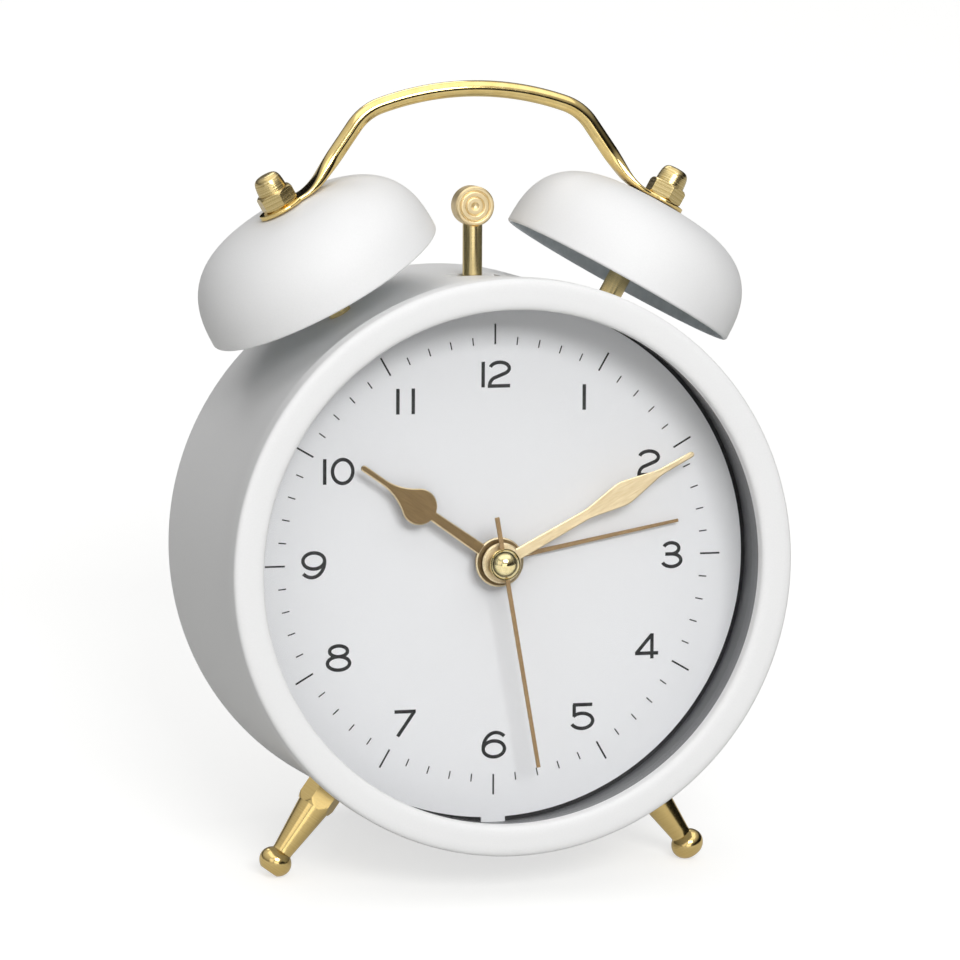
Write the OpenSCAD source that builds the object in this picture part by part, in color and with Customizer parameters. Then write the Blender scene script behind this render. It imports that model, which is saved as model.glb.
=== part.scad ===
/* [Case] */
// Outside radius of the sheet metal drum
case_radius = 56.25; // [55.75:0.25:57.5]
// Distance from the bezel edge back to the rear edge of the drum
case_back = 59.8; // [59.4:0.2:66]
// Sheet thickness of the drum
case_wall = 0.9; // [0.7:0.05:1.1]
// How far the bezel stands out beyond the drum
bezel_overhang = 1.75; // [1.4:0.05:2.4]
// Width of the bezel seen from the front
bezel_width = 6.3; // [5.6:0.1:7.4]
// Height of the rounded crown of the bezel
bezel_crown = 2; // [1.2:0.1:2.8]

/* [Dial] */
// Distance from the bezel edge back to the dial face
dial_depth = 14.5; // [13.8:0.1:14.7]
// Wall of the ring between the lens and the dial
ring_wall = 1.9; // [1.4:0.1:2.3]
// Thickness of the lens
lens_thick = 1.5; // [1:0.1:1.9]

/* [Hands] */
// Length of the hour hand
hour_length = 35; // [32:0.5:40]
// Length of the minute hand
minute_length = 45; // [42:0.5:48]
// Length of the second hand
second_length = 42; // [34:0.5:48]
// Length of the alarm hand
alarm_length = 39; // [30:0.5:48]

/* [Bells] */
// Lean of each bell away from upright
bell_angle = 29.5; // [28.5:0.25:31]
// Distance from the drum to the bell rim plane
bell_gap = 6.35; // [5.35:0.1:7.75]
// Radius of the bell rim
bell_radius = 25.9; // [25:0.1:26.3]
// Height of the bell above its rim
bell_height = 18.2; // [17.6:0.1:19.4]
// Sheet thickness of the bells
bell_wall = 1; // [0.7:0.05:1.3]
// Radius of the posts that carry the bells
post_radius = 2.35; // [2.3:0.05:3]

/* [Handle] */
// Radius of the bent rod
rod_radius = 1.65; // [1.4:0.05:1.8]
// Height of the rod centre above the drum
handle_rise = 37.7; // [36.2:0.25:42.7]
// Radius of the bend at each shoulder of the handle
corner_radius = 11; // [8:0.5:13]

/* [Hammer] */
// Radius of the hammer head
head_radius = 4.05; // [3.6:0.05:4.1]
// Thickness of the hammer head
head_thick = 4; // [3:0.1:4.6]
// Height of the hammer head above the drum
head_rise = 13.95; // [13.55:0.1:15.75]

/* [Feet] */
// Splay of each foot away from upright
foot_angle = 35.7; // [33:0.5:39]
// Distance from the drum to the ball of the foot
foot_length = 18.25; // [15.75:0.25:23.75]
// Radius of the ball
ball_radius = 3.25; // [3:0.05:3.6]

/* [Rear] */
// Radius of the setting knobs
knob_radius = 6; // [5:0.1:7]
// Length of the setting knobs
knob_length = 7; // [5.5:0.1:10]
// Travel of the alarm switch to either side
switch_travel = 2.5; // [1.5:0.1:3]

/* [Hidden] */
$fn = 96;

// Finishes
white_paint = [0.95, 0.95, 0.94];
white_plastic = [0.9, 0.9, 0.89];
cream_plastic = [0.9, 0.85, 0.7];
housing_plastic = [0.85, 0.85, 0.82];
black_plastic = [0.1, 0.1, 0.11];
dark_plastic = [0.2, 0.2, 0.21];
clear_glass = [0.85, 0.92, 0.95, 0.3];
gold_brass = [0.85, 0.68, 0.32];
dull_brass = [0.6, 0.5, 0.3];
champagne = [0.84, 0.74, 0.52];
bronze = [0.45, 0.36, 0.22];
zinc_steel = [0.7, 0.7, 0.72];
dark_steel = [0.33, 0.33, 0.35];
copper = [0.75, 0.42, 0.2];
board_green = [0.1, 0.4, 0.2];
battery_grey = [0.25, 0.27, 0.3];

// Running clearance between shafts and bores
fit = 0.05;
// Clearance of pieces pushed or screwed together
snug = 0.02;
// End play of wheels and shafts
end_gap = 0.2;
// Amount by which cutting tools overrun a face
over = 1;

// Drum, bezel and the stack between the bezel lip and the frame
case_inner = case_radius - case_wall;
stack_gap = 0.15;
stack_radius = case_inner - stack_gap;
hem_radius = 0.8;
bezel_radius = case_radius + bezel_overhang;
opening_radius = bezel_radius - bezel_width;
lip_thick = 1.2;
skirt_length = 2;
skirt_gap = 0.1;
ledge = 0.1;
lens_y = lip_thick;
ring_y = lens_y + lens_thick;
ring_gap = 1;
ring_bore = stack_radius - ring_wall;
dial_radius = ring_bore - ring_gap;
dial_thick = 0.6;
tab_width = 5;
tab_reach = 2;
tab_gap = 0.15;
frame_y = dial_depth + dial_thick;
frame_thick = 1.5;
frame_back = frame_y + frame_thick;
bead_width = 1.75;
bead_length = 1;

// Columns and screws that hold the rear cover
column_inset = 8.5;
column_turn = 22;
column_reach = case_inner - column_inset;
column_x = column_reach * cos(column_turn);
column_z = column_reach * sin(column_turn);
column_radius = 3.2;
screw_radius = 1.4;
screw_length = 8;
screw_room = 2;
screw_gap = 0.2;
screw_head = 2.6;
screw_head_thick = 1.1;
cross_length = 3.6;
cross_width = 0.6;

// Rear cover
cover_inset = 3.5;
cover_y = case_back - cover_inset;
cover_thick = 2;
cover_back = cover_y + cover_thick;
cover_gap = 0.3;
cover_radius = case_radius - 2 * hem_radius - cover_gap;

// Feet and the lean they give the clock
foot_y = 21;
foot_stud = 1.5;
foot_stud_length = 5;
foot_collar = 5;
foot_shank = 3.45;
foot_neck = 2.1;
collar_rim = 3.55;
collar_flare = 6;
flat_cut = 0.65;
ball_flat = ball_radius - flat_cut;
foot_reach = case_radius + foot_length;
foot_drop = foot_reach * cos(foot_angle);
hem_y = case_back - hem_radius;
hem_z = case_radius - hem_radius;
lean_run = hem_y - foot_y;
lean_rise = foot_drop - hem_z;
lean_angle = asin((ball_radius - hem_radius) / norm([lean_run, lean_rise])) + atan2(lean_rise, lean_run);
stand_lift = hem_radius + hem_y * sin(lean_angle) + hem_z * cos(lean_angle);
foot_stand = foot_y * cos(lean_angle) - foot_drop * sin(lean_angle);
hem_stand = hem_y * cos(lean_angle) - hem_z * sin(lean_angle);
stand_mid = (foot_stand + hem_stand) / 2;

// Depth of the plane that holds bells, handle and hammer
mid_y = 30.5;

// Bell outline: flared skirt, shoulder arc and crown arc
bell_reach = case_radius + bell_gap;
flare_angle = 11.3;
flare_height = 7;
shoulder = 11;
shoulder_x = bell_radius - flare_height * tan(flare_angle) - shoulder * cos(flare_angle);
shoulder_z = flare_height - shoulder * sin(flare_angle);
crown_angle = 2 * atan((bell_height - shoulder_z - shoulder) / shoulder_x);
crown_radius = shoulder + shoulder_x / sin(crown_angle);
crown_z = shoulder_z - shoulder_x / tan(crown_angle);
land_radius = 5.5;
land_z = crown_z + sqrt(crown_radius * crown_radius - land_radius * land_radius);
stud_radius = 1.95;
stud_gap = 0.15;
stud_hole = stud_radius + stud_gap;
stud_drop = 4;
stud_rise = 5;
seat = bell_reach + land_z;

// Nuts on the bell posts and on the feet
nut_flats = 7;
nut_corner = nut_flats / sqrt(3);
nut_thick = 3;
acorn_hex = 3.2;
acorn_neck = 0.6;
acorn_dome = 3.05;
acorn_turn = 30;
foot_nut_flats = 5.5;
foot_nut_corner = foot_nut_flats / sqrt(3);
foot_nut_thick = 2.4;

// Handle rod, drawn in the plane of the bells
tab_thick = 1;
tab_half = 3.3;
tab_end = 4.9;
tab_start = 4.4;
weld = 0.3;
weld_ease = 0.01;
weld_radius = rod_radius - weld_ease;
weld_slab = 0.1;
weld_facets = 32;
nut_base = seat + tab_thick;
rod_gap = 0.15;
rod_seat = seat + rod_radius + rod_gap;
rod_start = -8.5;
leg_slope = 55;
foot_bend = 7;
arch_radius = 60;
handle_top = case_radius + handle_rise;
arch_weld = weld * 180 / (PI * arch_radius);
bend_x = (rod_seat + foot_bend) * sin(bell_angle) + rod_start * cos(bell_angle);
bend_z = (rod_seat + foot_bend) * cos(bell_angle) - rod_start * sin(bell_angle);
leg_foot_x = bend_x - foot_bend * sin(leg_slope);
leg_foot_z = bend_z - foot_bend * cos(leg_slope);
arch_z = handle_top - arch_radius;
leg_offset = leg_foot_x * sin(leg_slope) + leg_foot_z * cos(leg_slope);
arch_reach = arch_radius - corner_radius;
arch_turn = leg_slope - acos((leg_offset - corner_radius - arch_z * cos(leg_slope)) / arch_reach);
corner_x = arch_reach * sin(arch_turn);
corner_z = arch_z + arch_reach * cos(arch_turn);
leg_top_x = corner_x + corner_radius * sin(leg_slope);
leg_top_z = corner_z + corner_radius * cos(leg_slope);
leg_length = norm([leg_foot_x - leg_top_x, leg_foot_z - leg_top_z]);

// Hammer and its drive
hammer_swing = 10;
pivot_inset = 14.25;
pivot_z = case_radius - pivot_inset;
head_height = case_radius + head_rise;
pivot_pin = 1;
pivot_head = 1.8;
pivot_head_thick = 0.4;
crank_drop = 10;
crank_z = pivot_z - crank_drop;
crank_throw = crank_drop * tan(hammer_swing);
crank_pin = 0.8;
crank_hub = 2;
fork_gap = 0.4;
fork_lip = 1;
stem_radius = 2;
stem_rise = 4;
stem_base = pivot_z + stem_rise;
spigot_radius = 1.5;
spigot_length = 1.2;
slot_gap = 0.9;
slot_half = (case_radius - pivot_z) * tan(hammer_swing) + stem_radius + slot_gap;
slot_room = 0.6;
slot_side = stem_radius + slot_room;
lever_set = 1.5;
lever_y = mid_y - lever_set;
lever_thick = 2.2;
lever_boss = 3.8;
lever_half = 2.7;
lever_tail = crank_drop + crank_throw + crank_pin + fork_lip;
socket_radius = 3.1;
socket_rise = 2.1;
socket_base = pivot_z + socket_rise;
socket_height = 6;
crank_room = 1;
crank_y = lever_y + lever_thick + crank_room;
crank_thick = 1.5;
ringer_room = 0.6;
ringer_y = crank_y + crank_thick + ringer_room;
ringer_thick = 1.7;
ringer_back = ringer_y + ringer_thick;
ringer_half = 20;
ringer_drop = 8.5;
ringer_rise = 6;
ringer_bottom = crank_z - ringer_drop;
ringer_top = pivot_z + ringer_rise;
ringer_post = 2.5;
ringer_post_x = 17;
ringer_post_drop = 1;
ringer_post_z = pivot_z - ringer_post_drop;
motor_x = 10;
motor_radius = 8;
motor_length = 15.5;
motor_shaft = 1;
motor_shaft_end = 2;
motor_hub = 3;
motor_hub_length = 1.5;
motor_hole = 1.6;

// Levels of the wheels behind the dial
wheel_thick = 1;
thin_wheel = 0.8;
wheel_gap = 0.4;
thin_gap = 0.6;
lap = 0.2;
base_thick = 1.5;
base_back = frame_back + base_thick;
alarm_y = base_back + wheel_gap;
hour_y = alarm_y + wheel_thick + wheel_gap;
motion_y = hour_y + wheel_thick + wheel_gap;
centre_y = motion_y + wheel_thick + lap + wheel_gap;
third_y = centre_y + thin_wheel + thin_gap;
second_y = third_y + thin_wheel + thin_gap;
step_y = second_y + thin_wheel + thin_gap;
rotor_room = 0.5;
rotor_y = step_y + thin_wheel + rotor_room;
rotor_thick = 2;
rotor_radius = 3;

// Nested tubes that carry the hands
second_bore = 0.5;
minute_tube = 1.2;
hour_tube = 2;
alarm_tube = 2.9;
dial_hole = 3.3;
tube_end = 0.2;
alarm_stand = 1.6;
hour_stand = 4;
minute_stand = 5.8;
second_stand = 7.6;
alarm_hand_y = dial_depth - alarm_stand;
hour_hand_y = dial_depth - hour_stand;
minute_hand_y = dial_depth - minute_stand;
second_hand_y = dial_depth - second_stand;
hour_angle = 304.8;
minute_angle = 62.9;
second_angle = 170;
alarm_angle = 79.5;
arbor_lead = 1.3;
arbor_front = second_hand_y - arbor_lead;
boss_y = step_y + thin_wheel + thin_gap;
arbor_end = boss_y + arbor_lead;

// Tooth outline: half widths in pitches and heights in modules
tooth_side = [-0.25, -0.18, -0.09, 0.09, 0.18, 0.25];
tooth_rise = [-1.1, 0, 0.75, 0.75, 0, -1.1];

// Steps of the arcs in the outlines of hands and bells
leaf_steps = 16;
hollow_steps = 8;
tip_steps = 3;
tip_sweep = 72;
shoulder_steps = 14;
crown_steps = 6;

// Tooth counts
cannon_teeth = 10;
motion_teeth = 30;
motion_leaves = 8;
hour_teeth = 32;
time_teeth = 12;
alarm_teeth = 32;
alarm_leaves = 14;
second_leaves = 8;
third_teeth = 60;
third_leaves = 8;
centre_teeth = 64;
second_teeth = 50;
step_leaves = 10;
step_teeth = 48;
rotor_leaves = 8;
crank_teeth = 30;
motor_leaves = 10;

// Distances between meshing wheels
motion_reach = 10;
alarm_reach = 11.5;
third_reach = 10.8;
step_reach = 9;
rotor_reach = 8.4;

// Pitch radii that share each distance
cannon_pitch = pitch_share(motion_reach, cannon_teeth, motion_teeth);
motion_pitch = motion_reach - cannon_pitch;
motion_leaf_pitch = pitch_share(motion_reach, motion_leaves, hour_teeth);
hour_pitch = motion_reach - motion_leaf_pitch;
time_pitch = motion_pitch * time_teeth / motion_teeth;
alarm_leaf_pitch = pitch_share(alarm_reach, alarm_leaves, alarm_teeth);
alarm_pitch = alarm_reach - alarm_leaf_pitch;
second_leaf_pitch = pitch_share(third_reach, second_leaves, third_teeth);
third_pitch = third_reach - second_leaf_pitch;
third_leaf_pitch = pitch_share(third_reach, third_leaves, centre_teeth);
centre_pitch = third_reach - third_leaf_pitch;
step_leaf_pitch = pitch_share(step_reach, step_leaves, second_teeth);
second_pitch = step_reach - step_leaf_pitch;
rotor_leaf_pitch = pitch_share(rotor_reach, rotor_leaves, step_teeth);
step_pitch = rotor_reach - rotor_leaf_pitch;
motor_pitch = pitch_share(motor_x, motor_leaves, crank_teeth);
crank_pitch = motor_x - motor_pitch;

// Places of the wheel axes in the dial plane
centre_at = [0, 0];
motion_at = [motion_reach, 0];
time_at = motion_at + [0, motion_pitch + time_pitch];
alarm_turn = 145;
alarm_at = alarm_reach * [cos(alarm_turn), sin(alarm_turn)];
third_at = [0, -third_reach];
step_turn = 200;
step_at = step_reach * [cos(step_turn), sin(step_turn)];
rotor_at = step_at - [rotor_reach, 0];
pivot_at = [0, pivot_z];
crank_at = [0, crank_z];
motor_at = [motor_x, crank_z];

// Tooth phases that let the wheels mesh
motion_phase = mesh_phase(cannon_teeth, 0, motion_teeth, 0);
hour_phase = mesh_phase(motion_leaves, 0, hour_teeth, 180);
time_phase = mesh_phase(motion_teeth, motion_phase, time_teeth, 90);
alarm_phase = mesh_phase(alarm_teeth, 0, alarm_leaves, alarm_turn);
third_phase = mesh_phase(second_leaves, 0, third_teeth, 270);
centre_phase = mesh_phase(third_leaves, 0, centre_teeth, 90);
step_phase = mesh_phase(second_teeth, 0, step_leaves, step_turn);
rotor_phase = mesh_phase(step_teeth, 0, rotor_leaves, 180);
motor_phase = mesh_phase(crank_teeth, 0, motor_leaves, 0);

// Pins that the wheels turn on
motion_pin = 0.8;
third_pin = 0.6;
step_pin = 0.6;
rotor_pin = 0.5;
peg_shoulder = 1.3;
step_boss = 1.2;
rotor_boss = 1;
arbor_boss = 1.4;

// Stator, coil and circuit board
stator_at = [-24.5, -8];
stator_size = [21, 10];
stator_thick = 1.6;
stator_y = rotor_y + end_gap;
stator_back = stator_y + stator_thick;
stator_leg = 3;
stator_drop = 9;
stator_peg = 1.4;
stator_inset = 1.5;
rotor_gap = 0.4;
boss_gap = 0.5;
core_thick = 1;
coil_radius = 2.9;
coil_inset = 1;
coil_gap = 0.9;
board_size = [23, 15];
board_thick = 1.2;
board_side = 1.8;
board_sill = 0.8;
board_peg = 1.5;
board_inset = 3;
board_gap = 1.8;

// Housing of the movement
cap_y = stator_back + core_thick / 2 + coil_radius + coil_gap;
cap_thick = 1.5;
house_left = -26;
house_width = 52;
house_bottom = -23;
house_gap = 2;
house_height = ringer_bottom - house_gap - house_bottom;
house_wall = 1.2;
house_right = house_left + house_width;
board_left = house_right - house_wall - board_side - board_size[0];
board_at = [board_left, house_bottom + house_wall + board_sill];

// Setting shafts and knobs
shaft_radius = 1.2;
shaft_hole = 1.5;
shaft_step = 0.5;
shaft_foot = frame_back + shaft_step;
shaft_play = 0.1;
knob_room = 0.6;
knob_y = cover_back + knob_room;
knob_cap = 1.4;
knob_collar = 2.6;
knob_skirt = 1;
flute_count = 18;
flute_radius = 0.7;
flute_out = 0.25;
shaft_end = knob_y + knob_length - knob_cap;

// Battery bay in the rear cover
battery_radius = 7.1;
battery_length = 49.2;
battery_left = -24.5;
battery_sink = 7;
battery_y = cover_y - battery_sink;
battery_inset = 26.25;
battery_z = battery_inset - case_radius;
button_radius = 2.75;
bay_gap = 0.15;
bay_half = battery_radius + bay_gap;
bay_left = -28.5;
bay_right = 26.5;
bay_wall = 1.5;
bay_floor = 0.2;
bay_front = battery_y - battery_radius - bay_floor;
contact_thick = 0.5;
contact_half = 5;
leaf_half = 4;
button_length = bay_right - contact_thick - battery_left - battery_length;
door_thick = 1.4;
door_gap = 0.1;
door_rim = 1.6;
rib_count = 5;
rib_step = 2;
rib_width = 14;
rib_thick = 0.8;
rib_rise = 0.5;

// Alarm switch
switch_at = [-14, 30];
switch_gap = 0.12;
switch_neck = [3, 2.4];
switch_foot = [11, 5];
switch_foot_thick = 1.3;
switch_grip = [6, 5.2];
switch_grip_thick = 1.2;
switch_ridge = 1.2;
switch_ridge_rise = 2;
switch_slot = 2.7;
switch_slot_room = 0.1;

function pitch_share(distance, own, other) = distance * own / (own + other);

function mesh_phase(own, own_phase, other, direction) =
  direction + 180 + 180 / other - (own_phase - direction) * own / other;

function teeth_outline(count, pitch, phase) = [
  for (i = [0 : count - 1])
    for (k = [0 : len(tooth_side) - 1])
      let (turn = phase + (i + tooth_side[k]) * 360 / count)
      let (reach = pitch + tooth_rise[k] * 2 * pitch / count)
      [reach * cos(turn), reach * sin(turn)]
];

function arc(x, y, radius, start, end, steps) = [
  for (i = [0 : steps])
    let (turn = start + (end - start) * i / steps)
    [x + radius * cos(turn), y + radius * sin(turn)]
];

function both_sides(right) = concat(
  right,
  [for (i = [len(right) - 1 : -1 : 0]) [-right[i][0], right[i][1]]]
);

// Puts the clock on its feet and rear edge, leaning back
module lean() {
  translate([0, -stand_mid, stand_lift])
    rotate([-lean_angle, 0, 0])
      children();
}

// Extrudes a drawing of the dial plane backwards from depth y
module plate(y, thick) {
  translate([0, y + thick, 0])
    rotate([90, 0, 0])
      linear_extrude(thick)
        children();
}

// Revolves a drawing of radius and depth about the dial axis
module turned() {
  rotate([-90, 0, 0])
    rotate_extrude()
      children();
}

// Round bar running backwards from depth y
module bar(at, y, length, radius) {
  translate([at[0], y, at[1]])
    rotate([-90, 0, 0])
      cylinder(h = length, r = radius);
}

// Round bar between two depths
module rod(at, from, to, radius) {
  bar(at, from, to - from, radius);
}

// Round hole along the whole depth of the clock
module bore(at, radius) {
  rod(at, -over, case_back + over, radius);
}

// Points the upright direction outwards from the dial axis
module outward(angle, y) {
  translate([0, y, 0])
    rotate([0, angle, 0])
      children();
}

module both_bells() {
  for (side = [-1, 1])
    outward(side * bell_angle, mid_y)
      children();
}

module both_feet() {
  for (side = [-1, 1])
    outward(side * (180 - foot_angle), foot_y)
      children();
}

// Upright cylinder between two heights
module stud(from, to, radius) {
  translate([0, 0, from])
    cylinder(h = to - from, r = radius);
}

// Six-sided nut between two heights
module hex(from, to, corner) {
  translate([0, 0, from])
    cylinder(h = to - from, r = corner, $fn = 6);
}

// Places its child at the four cover columns
module four_columns() {
  for (side = [-1, 1])
    for (row = [-1, 1])
      translate([side * column_x, 0, row * column_z])
        children();
}

module toothed(at, y, thick, count, pitch, phase) {
  translate([at[0], 0, at[1]])
    plate(y, thick)
      polygon(teeth_outline(count, pitch, phase));
}

module box(from, size) {
  translate(from)
    cube(size);
}

module case_drum() {
  color(white_paint)
  lean()
  difference() {
    union() {
      turned()
        translate([case_inner, lip_thick])
          square([case_wall, hem_y - lip_thick]);
      turned()
        translate([hem_z, hem_y])
          circle(r = hem_radius);
      turned()
        translate([case_inner - bead_width, frame_back])
          square([bead_width + case_wall / 2, bead_length]);
    }
    both_bells()
      stud(case_inner - stud_drop, case_radius + over, stud_hole);
    both_feet()
      stud(case_inner - foot_stud_length, case_radius + over, foot_stud + stud_gap);
    box([-slot_half, mid_y - slot_side, case_inner - stud_drop],
        [2 * slot_half, 2 * slot_side, 2 * stud_drop]);
  }
}

module bezel() {
  half = bezel_width / 2;
  middle = opening_radius + half;
  curve = (half * half + bezel_crown * bezel_crown) / (2 * bezel_crown);
  skirt_bore = case_radius + skirt_gap;
  skirt_end = lip_thick + skirt_length;
  color(white_paint)
  lean()
  turned()
  union() {
    intersection() {
      translate([middle, curve - bezel_crown])
        circle(r = curve);
      translate([middle - bezel_width, -2 * bezel_crown])
        square([2 * bezel_width, 2 * bezel_crown - ledge / 2]);
    }
    polygon([
      [opening_radius, -ledge], [bezel_radius, -ledge], [bezel_radius, skirt_end],
      [skirt_bore, skirt_end], [skirt_bore, lip_thick], [opening_radius, lip_thick]
    ]);
  }
}

module lens() {
  color(clear_glass)
  lean()
  bar(centre_at, lens_y, lens_thick, stack_radius);
}

module spacer_ring() {
  notch = tab_width + 2 * tab_gap;
  color(dark_plastic)
  lean()
  difference() {
    turned()
      translate([ring_bore, ring_y])
        square([stack_radius - ring_bore, frame_y - ring_y]);
    box([-notch / 2, dial_depth - tab_gap, -stack_radius - over],
        [notch, dial_thick + 2 * tab_gap, stack_radius - dial_radius + over]);
  }
}

module dial() {
  color(white_paint)
  lean()
  plate(dial_depth, dial_thick)
  difference() {
    union() {
      circle(r = dial_radius);
      translate([-tab_width / 2, -dial_radius - tab_reach])
        square([tab_width, 2 * tab_reach]);
    }
    circle(r = dial_hole);
  }
}

module dial_frame() {
  color(black_plastic)
  lean()
  difference() {
    union() {
      bar(centre_at, frame_y, frame_thick, stack_radius);
      four_columns()
        rod(centre_at, frame_y, cover_y, column_radius);
    }
    bar(centre_at, frame_y - over, frame_thick + 2 * over, dial_hole);
    four_columns()
      rod(centre_at, cover_y - screw_length - screw_room, cover_y + over, screw_radius + snug);
  }
}

module alarm_hand() {
  thick = 0.4;
  hub = 4.4;
  collet = 3.5;
  collet_length = 1.2;
  root_half = 0.5;
  tip_half = 0.3;
  color(champagne)
  lean()
  difference() {
    union() {
      plate(alarm_hand_y, thick)
        rotate(-alarm_angle)
          polygon(both_sides([[root_half, 0], [tip_half, alarm_length]]));
      bar(centre_at, alarm_hand_y, thick, hub);
      bar(centre_at, alarm_hand_y, collet_length, collet);
    }
    bore(centre_at, alarm_tube + snug);
  }
}

module hour_hand() {
  thick = 0.5;
  hub = 5;
  collet = 3;
  collet_length = 1.6;
  root_half = 1.25;
  leaf = 3.65;
  leaf_back = 14.6;
  leaf_start = -74;
  tip = 0.62;
  hollow = 12;
  leaf_at = hour_length - leaf_back;
  hollow_at = leaf_at + sqrt(pow(leaf + hollow, 2) - pow(tip + hollow, 2));
  meet = atan2(hollow_at - leaf_at, tip + hollow);
  right = concat(
    [[root_half, 0]],
    arc(0, leaf_at, leaf, leaf_start, meet, leaf_steps),
    arc(tip + hollow, hollow_at, hollow, 180 + meet, 180, hollow_steps),
    arc(0, hour_length - tip, tip, 0, tip_sweep, tip_steps)
  );
  color(bronze)
  lean()
  difference() {
    union() {
      plate(hour_hand_y, thick)
        rotate(-hour_angle)
          polygon(both_sides(right));
      bar(centre_at, hour_hand_y, thick, hub);
      bar(centre_at, hour_hand_y, collet_length, collet);
    }
    bore(centre_at, hour_tube + snug);
  }
}

module minute_hand() {
  thick = 0.45;
  hub = 4.1;
  collet = 2.2;
  collet_length = 1.4;
  root_half = 1.2;
  waist_half = 1;
  wide_half = 2.5;
  wide_back = 16.3;
  bulge = 0.9;
  bulge_half = 2.35;
  waist_back = 8.2;
  shaft_front = 8.8;
  shaft_half = 0.62;
  tip = 0.55;
  wide_at = minute_length - wide_back;
  right = concat(
    [[root_half, 0], [waist_half, wide_at - waist_back], [bulge_half, wide_at - bulge]],
    [[wide_half, wide_at], [bulge_half, wide_at + bulge], [shaft_half, wide_at + shaft_front]],
    arc(0, minute_length - tip, tip, 0, tip_sweep, tip_steps)
  );
  color(champagne)
  lean()
  difference() {
    union() {
      plate(minute_hand_y, thick)
        rotate(-minute_angle)
          polygon(both_sides(right));
      bar(centre_at, minute_hand_y, thick, hub);
      bar(centre_at, minute_hand_y, collet_length, collet);
    }
    bore(centre_at, minute_tube + snug);
  }
}

module second_hand() {
  thick = 0.4;
  hub = 2.2;
  collet = 1.2;
  collet_length = 1.3;
  tail = 9.6;
  tail_half = 0.45;
  tip_half = 0.38;
  color(champagne)
  lean()
  difference() {
    union() {
      plate(second_hand_y, thick)
        rotate(-second_angle)
          polygon(both_sides([[tail_half, -tail], [tip_half, second_length]]));
      bar(centre_at, second_hand_y, thick, hub);
      bar(centre_at, second_hand_y, collet_length, collet);
    }
    bore(centre_at, second_bore + snug);
  }
}

module second_cap() {
  dome = 2.95;
  color(gold_brass)
  lean()
  difference() {
    intersection() {
      translate([0, second_hand_y, 0])
        sphere(r = dome);
      bar(centre_at, second_hand_y - dome - over, dome + over, dome + over);
    }
    rod(centre_at, arbor_front - end_gap, second_hand_y + over, second_bore + snug);
  }
}

// Stepped peg on the base plate: a shoulder below a wheel and a pin through it
module base_peg(at, seat_y, tip_y, radius) {
  rod(at, base_back - over, seat_y - end_gap, peg_shoulder);
  rod(at, base_back - over, tip_y, radius);
}

module movement_base() {
  inner_width = house_width - 2 * house_wall;
  inner_height = house_height - 2 * house_wall;
  color(housing_plastic)
  lean()
  difference() {
    union() {
      difference() {
        box([house_left, frame_back, house_bottom], [house_width, cap_y - frame_back, house_height]);
        box([house_left + house_wall, base_back, house_bottom + house_wall],
            [inner_width, cap_y, inner_height]);
      }
      base_peg(motion_at, hour_y, motion_y + wheel_thick + end_gap, motion_pin);
      base_peg(third_at, centre_y, third_y + thin_wheel + end_gap, third_pin);
    }
    bar(centre_at, frame_back - over, base_thick + 2 * over, alarm_tube + fit);
    for (at = [time_at, alarm_at])
      rod(at, shaft_foot - shaft_play, base_back + over, shaft_radius + fit);
  }
}

// Post that reaches forward from the cap to depth y
module cap_post(at, y, radius) {
  rod(at, y, cap_y + cap_thick / 2, radius);
}

module movement_cap() {
  stator_right = stator_at[0] + stator_size[0] - stator_inset;
  stator_peg_z = stator_at[1] + stator_size[1] - stator_inset;
  color(housing_plastic)
  lean()
  difference() {
    union() {
      box([house_left, cap_y, house_bottom], [house_width, cap_thick, house_height]);
      cap_post(centre_at, boss_y, arbor_boss);
      cap_post(step_at, step_y + thin_wheel + end_gap, step_boss);
      cap_post(step_at, second_y - end_gap, step_pin);
      cap_post(rotor_at, rotor_y + rotor_thick + end_gap, rotor_boss);
      cap_post(rotor_at, step_y - end_gap, rotor_pin);
      for (x = [stator_at[0] + stator_inset, stator_right])
        cap_post([x, stator_peg_z], stator_back, stator_peg);
      for (at = [board_at + [board_inset, board_inset], board_at + board_size - [board_inset, board_inset]])
        cap_post(at, cap_y - board_gap, board_peg);
    }
    rod(centre_at, boss_y - over, arbor_end + over, second_bore + fit);
    for (at = [time_at, alarm_at])
      bar(at, cap_y - over, cap_thick + 2 * over, shaft_radius + fit);
  }
}

module alarm_wheel() {
  color(cream_plastic)
  lean()
  difference() {
    union() {
      toothed(centre_at, alarm_y, wheel_thick, alarm_teeth, alarm_pitch, 0);
      rod(centre_at, alarm_hand_y - tube_end, alarm_y + wheel_thick / 2, alarm_tube);
    }
    bore(centre_at, hour_tube + fit);
  }
}

module hour_wheel() {
  color(cream_plastic)
  lean()
  difference() {
    union() {
      toothed(centre_at, hour_y, wheel_thick, hour_teeth, hour_pitch, hour_phase);
      rod(centre_at, hour_hand_y - tube_end, hour_y + wheel_thick / 2, hour_tube);
    }
    bore(centre_at, minute_tube + fit);
  }
}

module motion_wheel() {
  color(cream_plastic)
  lean()
  difference() {
    union() {
      toothed(motion_at, motion_y, wheel_thick, motion_teeth, motion_pitch, motion_phase);
      toothed(motion_at, hour_y, motion_y - hour_y + lap, motion_leaves, motion_leaf_pitch, 0);
    }
    bore(motion_at, motion_pin + fit);
  }
}

module cannon_pinion() {
  color(dull_brass)
  lean()
  difference() {
    union() {
      toothed(centre_at, motion_y, wheel_thick + lap, cannon_teeth, cannon_pitch, 0);
      rod(centre_at, minute_hand_y - tube_end, centre_y + thin_wheel, minute_tube);
    }
    bore(centre_at, second_bore + fit);
  }
}

module centre_wheel() {
  color(cream_plastic)
  lean()
  difference() {
    toothed(centre_at, centre_y, thin_wheel, centre_teeth, centre_pitch, centre_phase);
    bore(centre_at, minute_tube + fit);
  }
}

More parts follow.
